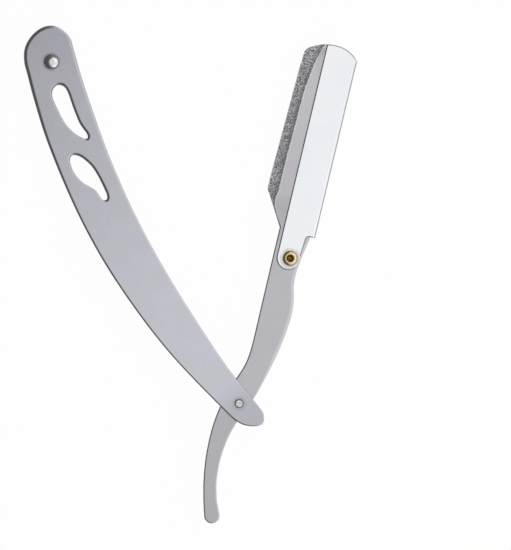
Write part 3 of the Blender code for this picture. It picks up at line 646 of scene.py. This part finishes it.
class Bench:
    """Blender's tools, used as by hand on one object at a time."""

    @staticmethod
    def pick(obj: bpy.types.Object) -> None:
        """Select one object alone and make it active."""
        bpy.ops.object.select_all(action="DESELECT")
        obj.select_set(True)
        bpy.context.view_layer.objects.active = obj

    @classmethod
    @contextmanager
    def editing(cls, obj: bpy.types.Object, selected: bool = False) -> Iterator[None]:
        """Edit mode on one object.

        Args:
            obj: object to edit.
            selected: start with everything selected instead of nothing.

        Yields:
            Nothing.
        """
        cls.pick(obj)
        bpy.ops.object.mode_set(mode="EDIT")
        bpy.ops.mesh.select_all(action="SELECT" if selected else "DESELECT")
        yield
        bpy.ops.object.mode_set(mode="OBJECT")

    @staticmethod
    def choose(obj: bpy.types.Object, kind: str, test: Callable[[object], bool]) -> int:
        """Select the elements of the mesh in edit mode that pass a test, and no others.

        Args:
            obj: object in edit mode.
            kind: VERT, EDGE or FACE.
            test: says of an element whether it is wanted.

        Returns:
            How many were selected.
        """
        bpy.ops.mesh.select_mode(type=kind)
        bpy.ops.mesh.select_all(action="DESELECT")
        bm = bmesh.from_edit_mesh(obj.data)
        wanted = [e for e in {"VERT": bm.verts, "EDGE": bm.edges, "FACE": bm.faces}[kind] if test(e)]
        for element in wanted:
            element.select_set(True)
        bmesh.update_edit_mesh(obj.data)
        return len(wanted)

    @staticmethod
    def outward() -> None:
        """Turn all faces of the mesh in edit mode outwards."""
        bpy.ops.mesh.select_all(action="SELECT")
        bpy.ops.mesh.normals_make_consistent(inside=False)

    @classmethod
    def copy_of(cls, node: str, name: str) -> bpy.types.Object:
        """Merged copy of a node of the frame, free of its body.

        Args:
            node: name of the node.
            name: name of the copy.

        Returns:
            The copy.
        """
        cls.pick(bpy.data.objects[node])
        bpy.ops.object.duplicate()
        copy = bpy.context.active_object
        copy.name = copy.data.name = name
        copy.parent = None
        for key in [k for k in copy.keys() if k.startswith("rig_")]:
            del copy[key]
        copy.data.materials.clear()
        with cls.editing(copy, selected=True):
            bpy.ops.mesh.remove_doubles(threshold=WELD)
            bpy.ops.mesh.customdata_custom_splitnormals_clear()
        return copy

    @staticmethod
    def start(name: str, location: Sequence[float] = (0.0, 0.0, 0.0)) -> bpy.types.Object:
        """Small plane that a piece is drawn out of.

        Args:
            name: name of the piece.
            location: middle of the plane.

        Returns:
            The plane.
        """
        bpy.ops.object.select_all(action="DESELECT")
        bpy.ops.mesh.primitive_plane_add(size=MM, location=location)
        made = bpy.context.active_object
        made.name = made.data.name = name
        return made

    @classmethod
    def turned(cls, node: str, centre: Point, profile: Profile, steps: int = 72) -> bpy.types.Object:
        """Solid of revolution: a point is extruded along the profile and spun.

        Args:
            node: name of the node that it is for.
            centre: shared x and y of its vertical axis.
            profile: (radius, height) points; a closed section ends where it began.
            steps: number of steps round the axis.

        Returns:
            The solid.
        """
        x, y = centre
        points = [Vector((x + r, y, z)) for r, z in profile]
        made = cls.start(node + "_turned", points[0])
        with cls.editing(made, selected=True):
            bpy.ops.mesh.select_mode(type="VERT")
            bpy.ops.mesh.select_all(action="SELECT")
            bpy.ops.mesh.merge(type="CENTER")
            for start, end in zip(points, points[1:]):
                bpy.ops.mesh.extrude_region_move(TRANSFORM_OT_translate={"value": end - start})
            bpy.ops.mesh.select_all(action="SELECT")
            bpy.ops.mesh.spin(steps=steps, angle=math.tau, center=(x, y, 0), axis=(0, 0, 1))
            bpy.ops.mesh.select_all(action="SELECT")
            bpy.ops.mesh.remove_doubles(threshold=WELD)
            cls.outward()
        bpy.ops.object.transform_apply(location=True, rotation=True, scale=True)
        return made

    @classmethod
    def washer(cls, node: str, inner: float, nip: float, trim: float = 0.0) -> bpy.types.Object:
        """Washer or tube with broken edges.

        Args:
            node: name of the node that it is for.
            inner: radius of its hole.
            nip: size of the broken edges.
            trim: how much smaller its radius is than the node's.

        Returns:
            The ring.
        """
        low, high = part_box(node)
        outer = (high.y - low.y) / 2 - trim
        section = [(inner, low.z), (outer - nip, low.z), (outer, low.z + nip), (outer, high.z - nip),
                   (outer - nip, high.z), (inner + nip, high.z), (inner, high.z - nip), (inner, low.z)]
        return cls.turned(node, middle(low, high), section)

    @classmethod
    def loft(cls, name: str, sections: Sequence[Sequence[Triple]]) -> bpy.types.Object:
        """Solid through four-cornered sections: a plane is extruded from each to the next.

        Args:
            name: name of the solid.
            sections: four corners each, in the same order.

        Returns:
            The solid.
        """
        made = cls.start(name)
        with cls.editing(made, selected=True):
            bpy.ops.mesh.select_mode(type="FACE")
            bm = bmesh.from_edit_mesh(made.data)
            corner = bm.verts.layers.int.new("corner")
            bm.faces.ensure_lookup_table()
            for i, vert in enumerate(bm.faces[0].verts):
                vert[corner] = i
            bmesh.update_edit_mesh(made.data)
            for i, section in enumerate(sections):
                if i:
                    bpy.ops.mesh.extrude_region_move()
                bm = bmesh.from_edit_mesh(made.data)
                corner = bm.verts.layers.int["corner"]
                for vert in (v for v in bm.verts if v.select):
                    vert.co = section[vert[corner]]
                bmesh.update_edit_mesh(made.data)
            cls.outward()
        return made

    @classmethod
    def modify(cls, made: bpy.types.Object, kind: str, **settings: object) -> None:
        """Add a modifier to a piece and apply it.

        Args:
            made: the piece.
            kind: Blender's name of the modifier's type.
            settings: its properties.
        """
        cls.pick(made)
        modifier = made.modifiers.new(kind, kind)
        for name, value in settings.items():
            setattr(modifier, name, value)
        bpy.ops.object.modifier_apply(modifier=modifier.name)

    @classmethod
    def cut(cls, made: bpy.types.Object, cutter: bpy.types.Object) -> None:
        """Take a solid's space out of a piece, and throw the solid away.

        Args:
            made: the piece.
            cutter: the solid.
        """
        cls.modify(made, "BOOLEAN", object=cutter, operation="DIFFERENCE", solver="EXACT")
        cls.pick(cutter)
        bpy.ops.object.delete()

    @classmethod
    def plate(cls, copy: bpy.types.Object, level: float, faces: Point, rims: tuple[Rim, Rim], share: Share,
              straight: float = math.inf) -> bpy.types.Object:
        """Plate with finely curved outlines and rounded rims, redrawn from a node's copy.

        Args:
            copy: merged copy of a flat node, which is used up.
            level: height at which its walls have their full outline.
            faces: its lower and upper face.
            rims: rounding of each.
            share: share of that rounding at a place, with the way in from there, for a loop of some span.
            straight: chords longer than this stay straight.

        Returns:
            The plate.
        """
        reach = [(min(line), max(line)) for line in ([v.co[i] for v in copy.data.vertices] for i in (0, 1))]
        cls.pick(cls.outline(copy, level, straight))
        bpy.ops.object.convert(target="MESH")
        made = bpy.context.active_object
        (low, high), (under, over) = faces, rims
        rings = [(low, 1.0, under, point) for point in reversed(under.section)]
        rings += [(high, -1.0, over, point) for point in over.section]
        with cls.editing(made, selected=True):
            bpy.ops.mesh.select_mode(type="EDGE")
            bpy.ops.mesh.remove_doubles(threshold=WELD)
            bpy.ops.mesh.dissolve_limited(angle_limit=FLAT_TURN)
            bpy.ops.mesh.select_all(action="SELECT")
            cls.aim(made, share, reach)
            for i, (face, up, rim, (run, fall)) in enumerate(rings):
                if i:
                    bpy.ops.mesh.extrude_edges_move()
                bm = bmesh.from_edit_mesh(made.data)
                base, inward = (bm.verts.layers.float_vector[name] for name in ("base", "inward"))
                layer, dark_facing = (bm.verts.layers.float[name] for name in (LEFT_RIM_SHADE_LAYER, "dark_facing"))
                for vert in (v for v in bm.verts if v.select):
                    vert.co = vert[base] + vert[inward] * (rim.width * run)
                    vert.co.z = face + up * vert[inward].length * rim.drop * fall
                    # Mask of the painted shade: up to 1 on rims that face DARK_SIDE, 0 on the faces.
                    vert[layer] = (1.0 - run) * vert[dark_facing]
                bmesh.update_edit_mesh(made.data)
            for face in faces:
                cls.choose(made, "EDGE", lambda e: e.is_boundary and all(abs(v.co.z - face) < WELD for v in e.verts))
                bpy.ops.mesh.fill(use_beauty=True)
                cls.choose(made, "FACE", lambda f: all(abs(v.co.z - face) < WELD for v in f.verts))
                bpy.ops.mesh.dissolve_limited(angle_limit=FLAT_TURN / 5)
            cls.outward()
        return made

    @staticmethod
    def aim(made: bpy.types.Object, share: Share, reach: Sequence[Point]) -> None:
        """Keep at each point of flat loops in edit mode its place, and which way the plate lies, times its share.

        Args:
            made: wire loops.
            share: share of the rounding at a place, with the way in from there, for a loop of some span.
            reach: least and greatest x, and y, that the curves may swing out to.
        """
        bm = bmesh.from_edit_mesh(made.data)
        for name in (LEFT_RIM_SHADE_LAYER, "dark_facing"):
            bm.verts.layers.float.new(name)
        for name in ("base", "inward"):
            bm.verts.layers.float_vector.new(name)
        base, inward = (bm.verts.layers.float_vector[name] for name in ("base", "inward"))
        dark_facing = bm.verts.layers.float["dark_facing"]
        left, loops = dict.fromkeys(bm.verts), []
        while left:
            loop = [next(iter(left))]
            while loop[-1] in left:
                del left[loop[-1]]
                ahead = [e.other_vert(loop[-1]) for e in loop[-1].link_edges]
                loop.append(next((v for v in ahead if v in left), loop[0]))
            loops.append(loop[:-1])
        areas = [sum(a.co.x * b.co.y - b.co.x * a.co.y for a, b in zip(l, l[1:] + l[:1])) for l in loops]
        for loop, area in zip(loops, areas):
            hole = abs(area) < max(map(abs, areas))
            turn = 1.0 if (area > 0) != hole else -1.0
            span = max((a.co - loop[0].co).length for a in loop)
            for i, vert in enumerate(loop):
                along = loop[(i + 1) % len(loop)].co - loop[i - 1].co
                side = Vector((-along.y, along.x, 0.0)).normalized() * turn
                vert[base] = (*(clamp(c, *limits) for c, limits in zip(vert.co, reach)), vert.co.z)
                # How far the rim faces DARK_SIDE, which sets its painted shade.
                vert[dark_facing] = ramp(side.dot(DARK_SIDE), *LEFT_TURN)
                vert[inward] = side * share(vert.co, side, span)
        bmesh.update_edit_mesh(made.data)

    @staticmethod
    def outline(copy: bpy.types.Object, level: float, straight: float) -> bpy.types.Object:
        """Curve through the loops that a node's copy has at one height.

        Args:
            copy: merged copy of a flat node.
            level: height of the loops.
            straight: chords longer than this stay straight.

        Returns:
            The curve.
        """
        with Bench.editing(copy, selected=True):
            bpy.ops.mesh.bisect(plane_co=(0, 0, level), plane_no=(0, 0, 1), clear_inner=True, clear_outer=True)
            bpy.ops.mesh.select_all(action="SELECT")
            bpy.ops.mesh.dissolve_limited(angle_limit=FLAT_TURN)
            if Bench.choose(copy, "EDGE", lambda e: e.calc_length() > straight):
                bpy.ops.mesh.subdivide(number_cuts=STRAIGHT_CUTS)
        Bench.pick(copy)
        bpy.ops.object.convert(target="CURVE")
        curve = bpy.context.active_object
        bpy.ops.object.mode_set(mode="EDIT")
        bpy.ops.curve.select_all(action="SELECT")
        bpy.ops.curve.spline_type_set(type="BEZIER")
        bpy.ops.curve.handle_type_set(type="AUTOMATIC")
        bpy.ops.object.mode_set(mode="OBJECT")
        curve.data.resolution_u = OUTLINE_CHORDS
        return curve

    @staticmethod
    def weigh(made: bpy.types.Object, angle: float, weight: Callable[[Vector], float]) -> None:
        """Give the sharp edges of a mesh in edit mode their bevel weights.

        Args:
            made: the piece.
            angle: least angle in degrees of a sharp edge.
            weight: share of the rounding at a place.
        """
        bm = bmesh.from_edit_mesh(made.data)
        layer = bm.edges.layers.float.new("bevel_weight_edge")
        for edge in bm.edges:
            if len(edge.link_faces) == 2 and edge.calc_face_angle() > math.radians(angle):
                edge[layer] = weight((edge.verts[0].co + edge.verts[1].co) / 2)
        bmesh.update_edit_mesh(made.data)


# ------------------------------------------------------------------ sub-assemblies


@dataclass
class Assembly:
    """Pieces that are built together."""

    pieces: list[bpy.types.Object] = field(default_factory=list)

    def add(self, made: bpy.types.Object, finish: Finish, body: Body, node: str, sharp: float = 35.0) -> None:
        """Shade, dress and fasten a piece, and keep it.

        Args:
            made: the piece.
            finish: its surface.
            body: body that it rides.
            node: node that it stands for.
            sharp: angle in degrees above which an edge looks sharp.
        """
        Bench.pick(made)
        bpy.ops.object.shade_smooth_by_angle(angle=math.radians(sharp))
        Bench.modify(made, "WEIGHTED_NORMAL", keep_sharp=True, weight=100)
        if not made.data.materials:
            made.data.materials.append(finish.material())
        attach(made, body.value)
        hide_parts(node)
        self.pieces.append(made)
        log.info("%s rides %s: %d faces", made.name, body.value, len(made.data.polygons))


@dataclass
class Handle(Assembly):
    """Two scales, the spacer and domed rivet at their far end, and the pivot's rivet and washers."""

    front: Point = (4.95 * MM, 5.95 * MM)
    back: Point = (0.73 * MM, 1.73 * MM)
    outer_rim: Rim = Rim(1.35 * MM, 0.72 * MM, EASED)
    inner_rim: Rim = Rim(0.15 * MM, 0.12 * MM, BROKEN)
    rim_shares: tuple[Point, ...] = ((12.0, 0.37), (75.0, 0.56), (120.0, 0.95))      # by mm along the handle
    window_shares: Point = (0.28, 0.7)      # least and most, and the turn of the rim between them
    window_turn: Point = (0.5, -0.5)
    right_share: float = 0.6                # less on rims that face right
    right_turn: Point = (0.0, 0.8)
    hole_share: float = 0.08
    hole_span: float = 5 * MM
    window_span: float = 60 * MM
    head_in: float = 5.98 * MM
    head_h: float = 0.7 * MM
    head_rim: float = 0.14 * MM
    shank_r: float = 1.0 * MM
    pivot_head_r: float = 1.38 * MM
    pivot_flat_r: float = 1.14 * MM
    dome_r: float = 2.2 * MM
    dome_flat_r: float = 0.5 * MM
    dome_curve: float = 1.7
    dome_steps: int = 16
    ring_gap: float = 0.05 * MM
    ring_nip: float = 0.06 * MM

    def build(self) -> None:
        """Make every piece of the handle: scales, rivets, and then the spacer and the washers."""
        self.scales()
        self.rivets()
        for node in ("end_spacer", "pivot_washer_front", "pivot_washer_back"):
            self.add(Bench.washer(node, self.shank_r + self.ring_gap, self.ring_nip), BRIGHT, Body.HANDLE, node)

    def rounding(self, place: Vector, side: Vector, span: float) -> float:
        """Share of the rim's rounding: full outside, less in the windows and rivet holes.

        Args:
            place: point of an outline.
            side: way in from there.
            span: size of the outline.

        Returns:
            The share.
        """
        if span < self.hole_span:
            return self.hole_share
        if span < self.window_span:
            least, most = self.window_shares
            return least + (most - least) * ramp(side.dot(DARK_SIDE), *self.window_turn)
        (low, least), (half, some), (high, most) = self.rim_shares
        y = place.y / MM
        full = least + (some - least) * ramp(y, low, half) + (most - some) * ramp(y, half, high)
        return full * (1.0 - (1.0 - self.right_share) * ramp(side.dot(DARK_SIDE), *self.right_turn))

    def scales(self) -> None:
        """Steel plates with rounded rims and two windows each."""
        for node, faces, rims in (("front_scale", self.front, (self.inner_rim, self.outer_rim)),
                                  ("back_scale", self.back, (self.outer_rim, self.inner_rim))):
            copy = Bench.copy_of(node, node + "_plate")
            plate = Bench.plate(copy, sum(faces) / 2, faces, rims, self.rounding)
            self.add(plate, SATIN, Body.HANDLE, node)

    def rivets(self) -> None:
        """Domed rivet at the far end, flat-headed one at the pivot."""
        rise, run = self.head_h - self.head_rim, self.pivot_head_r - self.pivot_flat_r
        flat = [(self.pivot_head_r, 0.0)]
        flat += [(self.pivot_head_r - x, self.head_rim + z) for x, z in quarter(rise, run)] + [(0.0, self.head_h)]
        dome = [(self.dome_r, 0.0)]
        for r in (self.dome_r * (1 - share) for share in shares(self.dome_steps)):
            fall = max(0.0, (r - self.dome_flat_r) / (self.dome_r - self.dome_flat_r)) ** self.dome_curve
            dome.append((r, self.head_h - rise * fall))
        for node, centre, top, finish in (("end_rivet", END_RIVET, dome, DOMED_HEAD),
                                          ("pivot_rivet", RIVET, flat, FLAT_HEAD)):
            front = [(r, self.head_in + z) for r, z in [(self.shank_r, 0.0), *top]]
            back = [(r, 2 * MID_Z - z) for r, z in reversed(front)]
            self.add(Bench.turned(node, centre, back + front), finish, Body.HANDLE, node, sharp=50.0)


@dataclass
class BladeArm(Assembly):
    """Tail, tang and bed in one piece, with the two pins that locate the blade."""

    half: float = 1.2 * MM
    level: float = MID_Z - 0.54 * MM
    rim: Rim = Rim(0.45 * MM, 0.26 * MM, EASED)
    straight: float = 7 * MM
    back_rim: float = 2.5                                   # rounding along the tang's back, as a share
    back_turn: Point = (0.3, 0.9)
    back_from: Point = (6.0 * MM, 16.0 * MM)
    back_to: Point = (59.0 * MM, 50.0 * MM)
    taper: Point = (28.85 * MM, 38.85 * MM)                 # from the tang's thickness to the bed's
    bed_share: float = 0.75
    tail: Point = (-17.1 * MM, -38.0 * MM)                  # and to the tail's
    tail_share: float = 0.75
    bed_rim: float = 0.15
    rim_ends: Point = (60.0 * MM, 67.0 * MM)
    hole_span: float = 5 * MM
    stations: int = 8
    grind_drop: float = 1.3 * MM
    grind_in: float = 0.04                                  # reach of the wedge past the strip, as a share of it
    pocket_depth: float = 0.15 * MM
    pocket_side: float = 21.65 * MM
    pocket_in: float = 11.65 * MM
    pocket_y: float = 87.8 * MM
    over: float = 1.0 * MM
    pin_r: float = 0.6 * MM
    pin_nip: float = 0.12 * MM
    pin_steps: int = 40

    def rounding(self, place: Vector, side: Vector, span: float) -> float:
        """Share of the rim's rounding: wide along the tang's back, little round the bed and the holes.

        Args:
            place: point of an outline.
            side: way in from there.
            span: size of the outline.

        Returns:
            The share.
        """
        if span < self.hole_span:
            return self.bed_rim
        y = place.dot(ARM_Y)
        back = ramp(-side.dot(ARM_X), *self.back_turn) * ramp(y, *self.back_from) * ramp(y, *self.back_to)
        return (1.0 + (self.back_rim - 1.0) * back) * (1.0 - (1.0 - self.bed_rim) * ramp(y, *self.rim_ends))

    def thickness(self, y: float) -> float:
        """Thickness as a share of the tang's.

        Args:
            y: height along the arm.

        Returns:
            The share, less on the bed and towards the tail's tip.
        """
        bed, tail = ramp(y, *self.taper), ramp(y, *self.tail)
        smooth = bed * bed * (3.0 - 2.0 * bed)
        return 1.0 - (1.0 - self.bed_share) * smooth - (1.0 - self.tail_share) * tail

    def grind(self) -> bpy.types.Object:
        """Wedge over the ground strip.

        Returns:
            The wedge.
        """
        face, sections = MID_Z + self.half * self.bed_share, []
        top = face + self.over
        for y, wide in ((y * MM, width * MM) for y, width in GRIND):
            inner, outer = on_bed(y, wide * (1 + self.grind_in)), on_bed(y, -self.over)
            foot = face - self.grind_drop * (1 + self.over / wide)
            sections.append([(*inner, face + self.grind_drop * self.grind_in), (*inner, top),
                             (*outer, top), (*outer, foot)])
        return Bench.loft("grind_wedge", sections)

    def pocket(self) -> bpy.types.Object:
        """Block over the blade's shallow pocket, behind the bed.

        Returns:
            The block.
        """
        back = MID_Z - self.half * self.bed_share
        seat = Vector((*on_bed(self.pocket_y, 0.0), 0.0))
        corners = [seat + EDGE_IN * x + EDGE_UP * y for x, y in
                   ((-self.over, -self.pocket_side), (self.pocket_in, -self.pocket_side),
                    (self.pocket_in, self.pocket_side), (-self.over, self.pocket_side))]
        return Bench.loft("pocket_block", [[(p.x, p.y, z) for p in corners]
                                           for z in (back - self.over, back + self.pocket_depth)])

    def build(self) -> None:
        """Make the arm and its pins."""
        copy = Bench.copy_of("blade_arm", "blade_arm_steel")
        arm = Bench.plate(copy, self.level, (MID_Z - self.half, MID_Z + self.half), (self.rim, self.rim),
                          self.rounding, self.straight)
        with Bench.editing(arm):
            for low, high in (self.taper, self.tail[::-1]):
                for i in range(self.stations + 1):
                    y = low + (high - low) * i / self.stations
                    bpy.ops.mesh.select_all(action="SELECT")
                    bpy.ops.mesh.bisect(plane_co=ARM_Y * y, plane_no=ARM_Y)
            bm = bmesh.from_edit_mesh(arm.data)
            for vert in bm.verts:
                vert.co.z = MID_Z + (vert.co.z - MID_Z) * self.thickness(vert.co.dot(ARM_Y))
            bmesh.update_edit_mesh(arm.data)
        for cutter in (self.grind(), self.pocket()):
            Bench.cut(arm, cutter)
        self.add(arm, ARM, Body.ARM, "blade_arm", sharp=20.0)
        for node in ("blade_pin_lower", "blade_pin_upper"):
            low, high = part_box(node)
            r, nip = self.pin_r, self.pin_nip
            profile = [(0.0, low.z), (r - nip, low.z), (r, low.z + nip), (r, high.z - nip), (r - nip, high.z),
                       (0.0, high.z)]
            pin = Bench.turned(node, middle(low, high), profile, self.pin_steps)
            self.add(pin, BRIGHT, Body.ARM, node)


@dataclass
class Blade(Assembly):
    """Half blade in the shallow pocket behind the bed."""

    def build(self) -> None:
        """Dress the blade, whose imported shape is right."""
        node = bpy.data.objects["half_blade"]
        node.data.materials.clear()
        node.data.materials.append(BLADE.material())
        self.pieces.append(node)
        log.info("%s keeps its packed shape", node.name)


@dataclass
class Cover(Assembly):
    """Folded polished sheet with the hollow rivet that it swings on and that rivet's washers."""

    rim: float = 0.32 * MM
    rim_steps: int = 4
    inner_share: float = 0.25
    outside: float = 1.3 * MM               # height off the middle plane past which edges are outer ones
    wall: float = 0.6                       # upward part of a normal below which a face takes the dark cut-edge finish with painted shade; the fold's steep sides do too
    sharp: float = 40.0                     # angle in degrees from which an edge is rounded
    tube_r: float = 1.5 * MM
    bore_r: float = 1.03 * MM
    bore_depth: float = 3.4 * MM
    bore_cone: float = 0.4 * MM
    lip_r: float = 2.25 * MM
    lip_h: float = 0.5 * MM
    lip_in: float = 1.79 * MM
    lip_rim: float = 0.05 * MM
    lip_curve: float = 1.35
    lip_steps: int = 12
    crest_r: float = 1.4 * MM
    washer_in: float = 0.13 * MM            # trimmed, so that the scales pass it
    washer_nip: float = 0.12 * MM
    washer_gap: float = 0.05 * MM

    def build(self) -> None:
        """Make the sheet, the rivet and the washers."""
        sheet = Bench.copy_of("swing_cover", "swing_cover_sheet")
        for finish in (COVER, CUT_EDGE_AND_SHADE):
            sheet.data.materials.append(finish.material())
        with Bench.editing(sheet, selected=True):
            bpy.ops.mesh.dissolve_limited(angle_limit=math.radians(0.5))
            # The walls and the fold's steep sides take the dark cut-edge finish, partly painted shade.
            Bench.choose(sheet, "FACE", lambda f: abs(f.normal.z) < self.wall)
            sheet.active_material_index = 1
            bpy.ops.object.material_slot_assign()
            Bench.weigh(sheet, self.sharp, self.rounding)
        Bench.modify(sheet, "BEVEL", width=self.rim, segments=self.rim_steps, limit_method="WEIGHT",
                     use_clamp_overlap=False, loop_slide=False, material=1)
        low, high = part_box("swing_cover")
        for vert in sheet.data.vertices:
            vert.co = [clamp(*c) for c in zip(vert.co, low, high)]
        self.add(sheet, COVER, Body.COVER, "swing_cover", sharp=30.0)
        self.rivet()
        for node in ("cover_washer_front", "cover_washer_back"):
            ring = Bench.washer(node, self.tube_r + self.washer_gap, self.washer_nip, self.washer_in)
            self.add(ring, NICKEL, Body.ARM, node)

    def rounding(self, place: Vector) -> float:
        """Share of the rim's rounding: full on the outside of both leaves, little inside."""
        return 1.0 if abs(place.z - MID_Z) > self.outside else self.inner_share

    def rivet(self) -> None:
        """Hollow rivet: low round head behind, blind hole and rolled lip in front."""
        rise, foot = self.lip_h - self.lip_rim, self.lip_in + self.lip_rim
        head = [(self.lip_r * math.sin(a), -self.lip_in - self.lip_rim - rise * math.cos(a))
                for a in (math.pi / 2 * share for share in shares(self.lip_steps))]
        shank = [(self.lip_r, -self.lip_in), (self.tube_r, -self.lip_in), (self.tube_r, self.lip_in),
                 (self.lip_r, self.lip_in)]
        lip = [(self.crest_r + (self.lip_r - self.crest_r) * out, foot + rise * (1 - out ** self.lip_curve))
               for out in (1 - share for share in shares(self.lip_steps))]
        lip += [(self.bore_r + x, foot + z) for x, z in reversed(quarter(rise, self.crest_r - self.bore_r)[:-1])]
        floor = self.lip_in + self.lip_h - self.bore_depth
        hole = [(self.bore_r, floor), (0.0, floor - self.bore_cone)]
        profile = [(r, MID_Z + z) for r, z in head + shank + lip + hole]
        self.add(Bench.turned("cover_rivet", PIVOT, profile), BRASS, Body.ARM, "cover_rivet", sharp=60.0)


# ------------------------------------------------------------------ studio


@dataclass
class Studio:
    """Plain pale table, soft light round it and the camera of the photograph."""

    view_centre: Point = (23.44 * MM, 32.20 * MM)
    view_height: float = 169.23 * MM
    view_z: float = 5 * MM
    roll: float = math.radians(28.8)
    lens: float = 190.0
    sensor: float = 36.0
    clip: Point = (0.05, 10.0)
    table_r: float = 4.0
    table_z: float = -0.02 * MM
    wall_h: float = 0.8
    white_share: float = 0.97
    dark_side: Point = (-0.15, 0.45)        # part of a direction along DARK_SIDE where the dark begins and is full
    dark_low: Point = (0.08, 0.4)           # level part of a direction where it begins and is full
    dark: float = 0.62
    glow_side: Point = (-0.1, -0.7)
    glow_low: Point = (0.2, 0.8)
    glow: float = 0.2

    def build(self) -> None:
        """Set the table, the light and the camera."""
        self.table()
        self.light()
        self.camera()

    def table(self) -> None:
        """Round pale table with a low wall, which show white and keep the razor's soft shadow."""
        bpy.ops.object.select_all(action="DESELECT")
        bpy.ops.mesh.primitive_circle_add(vertices=96, radius=self.table_r, fill_type="NGON",
                                          location=(*self.view_centre, self.table_z))
        table = bpy.context.active_object
        table.name = "table"
        with Bench.editing(table):
            Bench.choose(table, "EDGE", lambda e: e.is_boundary)
            bpy.ops.mesh.extrude_region_move(TRANSFORM_OT_translate={"value": (0.0, 0.0, self.wall_h)})
        made = bpy.data.materials.new("table_white")
        made.use_nodes = True
        shader = Shader(made.node_tree)
        matt = shader.wire("BsdfDiffuse", 0, None, {"Color": (0.9, 0.9, 0.9)})
        white = shader.wire("Emission", 0, None, {"Color": (1.0, 1.0, 1.0), "Strength": 1.0})
        rays = shader.node("LightPath").outputs
        seen = [Wire(shader, rays[f"Is {kind} Ray"]) for kind in ("Camera", "Glossy", "Transmission")]
        share = shader.maths("MAXIMUM", shader.maths("MAXIMUM", *seen[:2]), seen[2]) * self.white_share
        both = shader.wire("MixShader", 0, None, {0: share, 1: matt, 2: white})
        shader.node("OutputMaterial", None, {"Surface": both})
        table.data.materials.append(made)

    def light(self) -> None:
        """Soft light all round, dimmer low down on one side and a little brighter on the other."""
        scene = bpy.context.scene
        world = scene.world or bpy.data.worlds.new("studio")
        scene.world = world
        world.use_nodes = True
        shader = Shader(world.node_tree)
        level = shader.level(shader.wire("TexCoord", "Generated"))
        low = shader.length(level)
        side = shader.along(shader.vector("NORMALIZE", level), DARK_SIDE)
        dark = shader.step(side, *self.dark_side) * shader.step(low, *self.dark_low) * self.dark
        glow = shader.step(side, *self.glow_side) * shader.step(low, *self.glow_low) * self.glow
        tone = 1.0 - dark + glow
        grey = shader.wire("CombineColor", 0, None, {0: tone, 1: tone, 2: tone})
        sky = shader.wire("Background", 0, None, {"Color": grey, "Strength": 1.0})
        shader.node("OutputWorld", None, {"Surface": sky})

    def camera(self) -> None:
        """Camera straight above, turned as the photograph is."""
        scene = bpy.context.scene
        data = bpy.data.cameras.new("photo_camera")
        data.lens, data.sensor_width = self.lens, self.sensor
        data.clip_start, data.clip_end = self.clip
        camera = bpy.data.objects.new("photo_camera", data)
        camera.location = (*self.view_centre, self.view_z + self.view_height * self.lens / self.sensor)
        camera.rotation_euler = (0.0, 0.0, -self.roll)
        scene.collection.objects.link(camera)
        scene.camera = camera


def main() -> None:
    """Load the frame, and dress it."""
    logging.basicConfig(level=logging.INFO, format="%(message)s")
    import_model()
    for assembly in (Handle(), BladeArm(), Blade(), Cover()):
        assembly.build()
        log.info("%s: %d pieces", type(assembly).__name__, len(assembly.pieces))
    Studio().build()
    bpy.context.scene.view_settings.view_transform = "Standard"


if __name__ == "__main__":
    main()
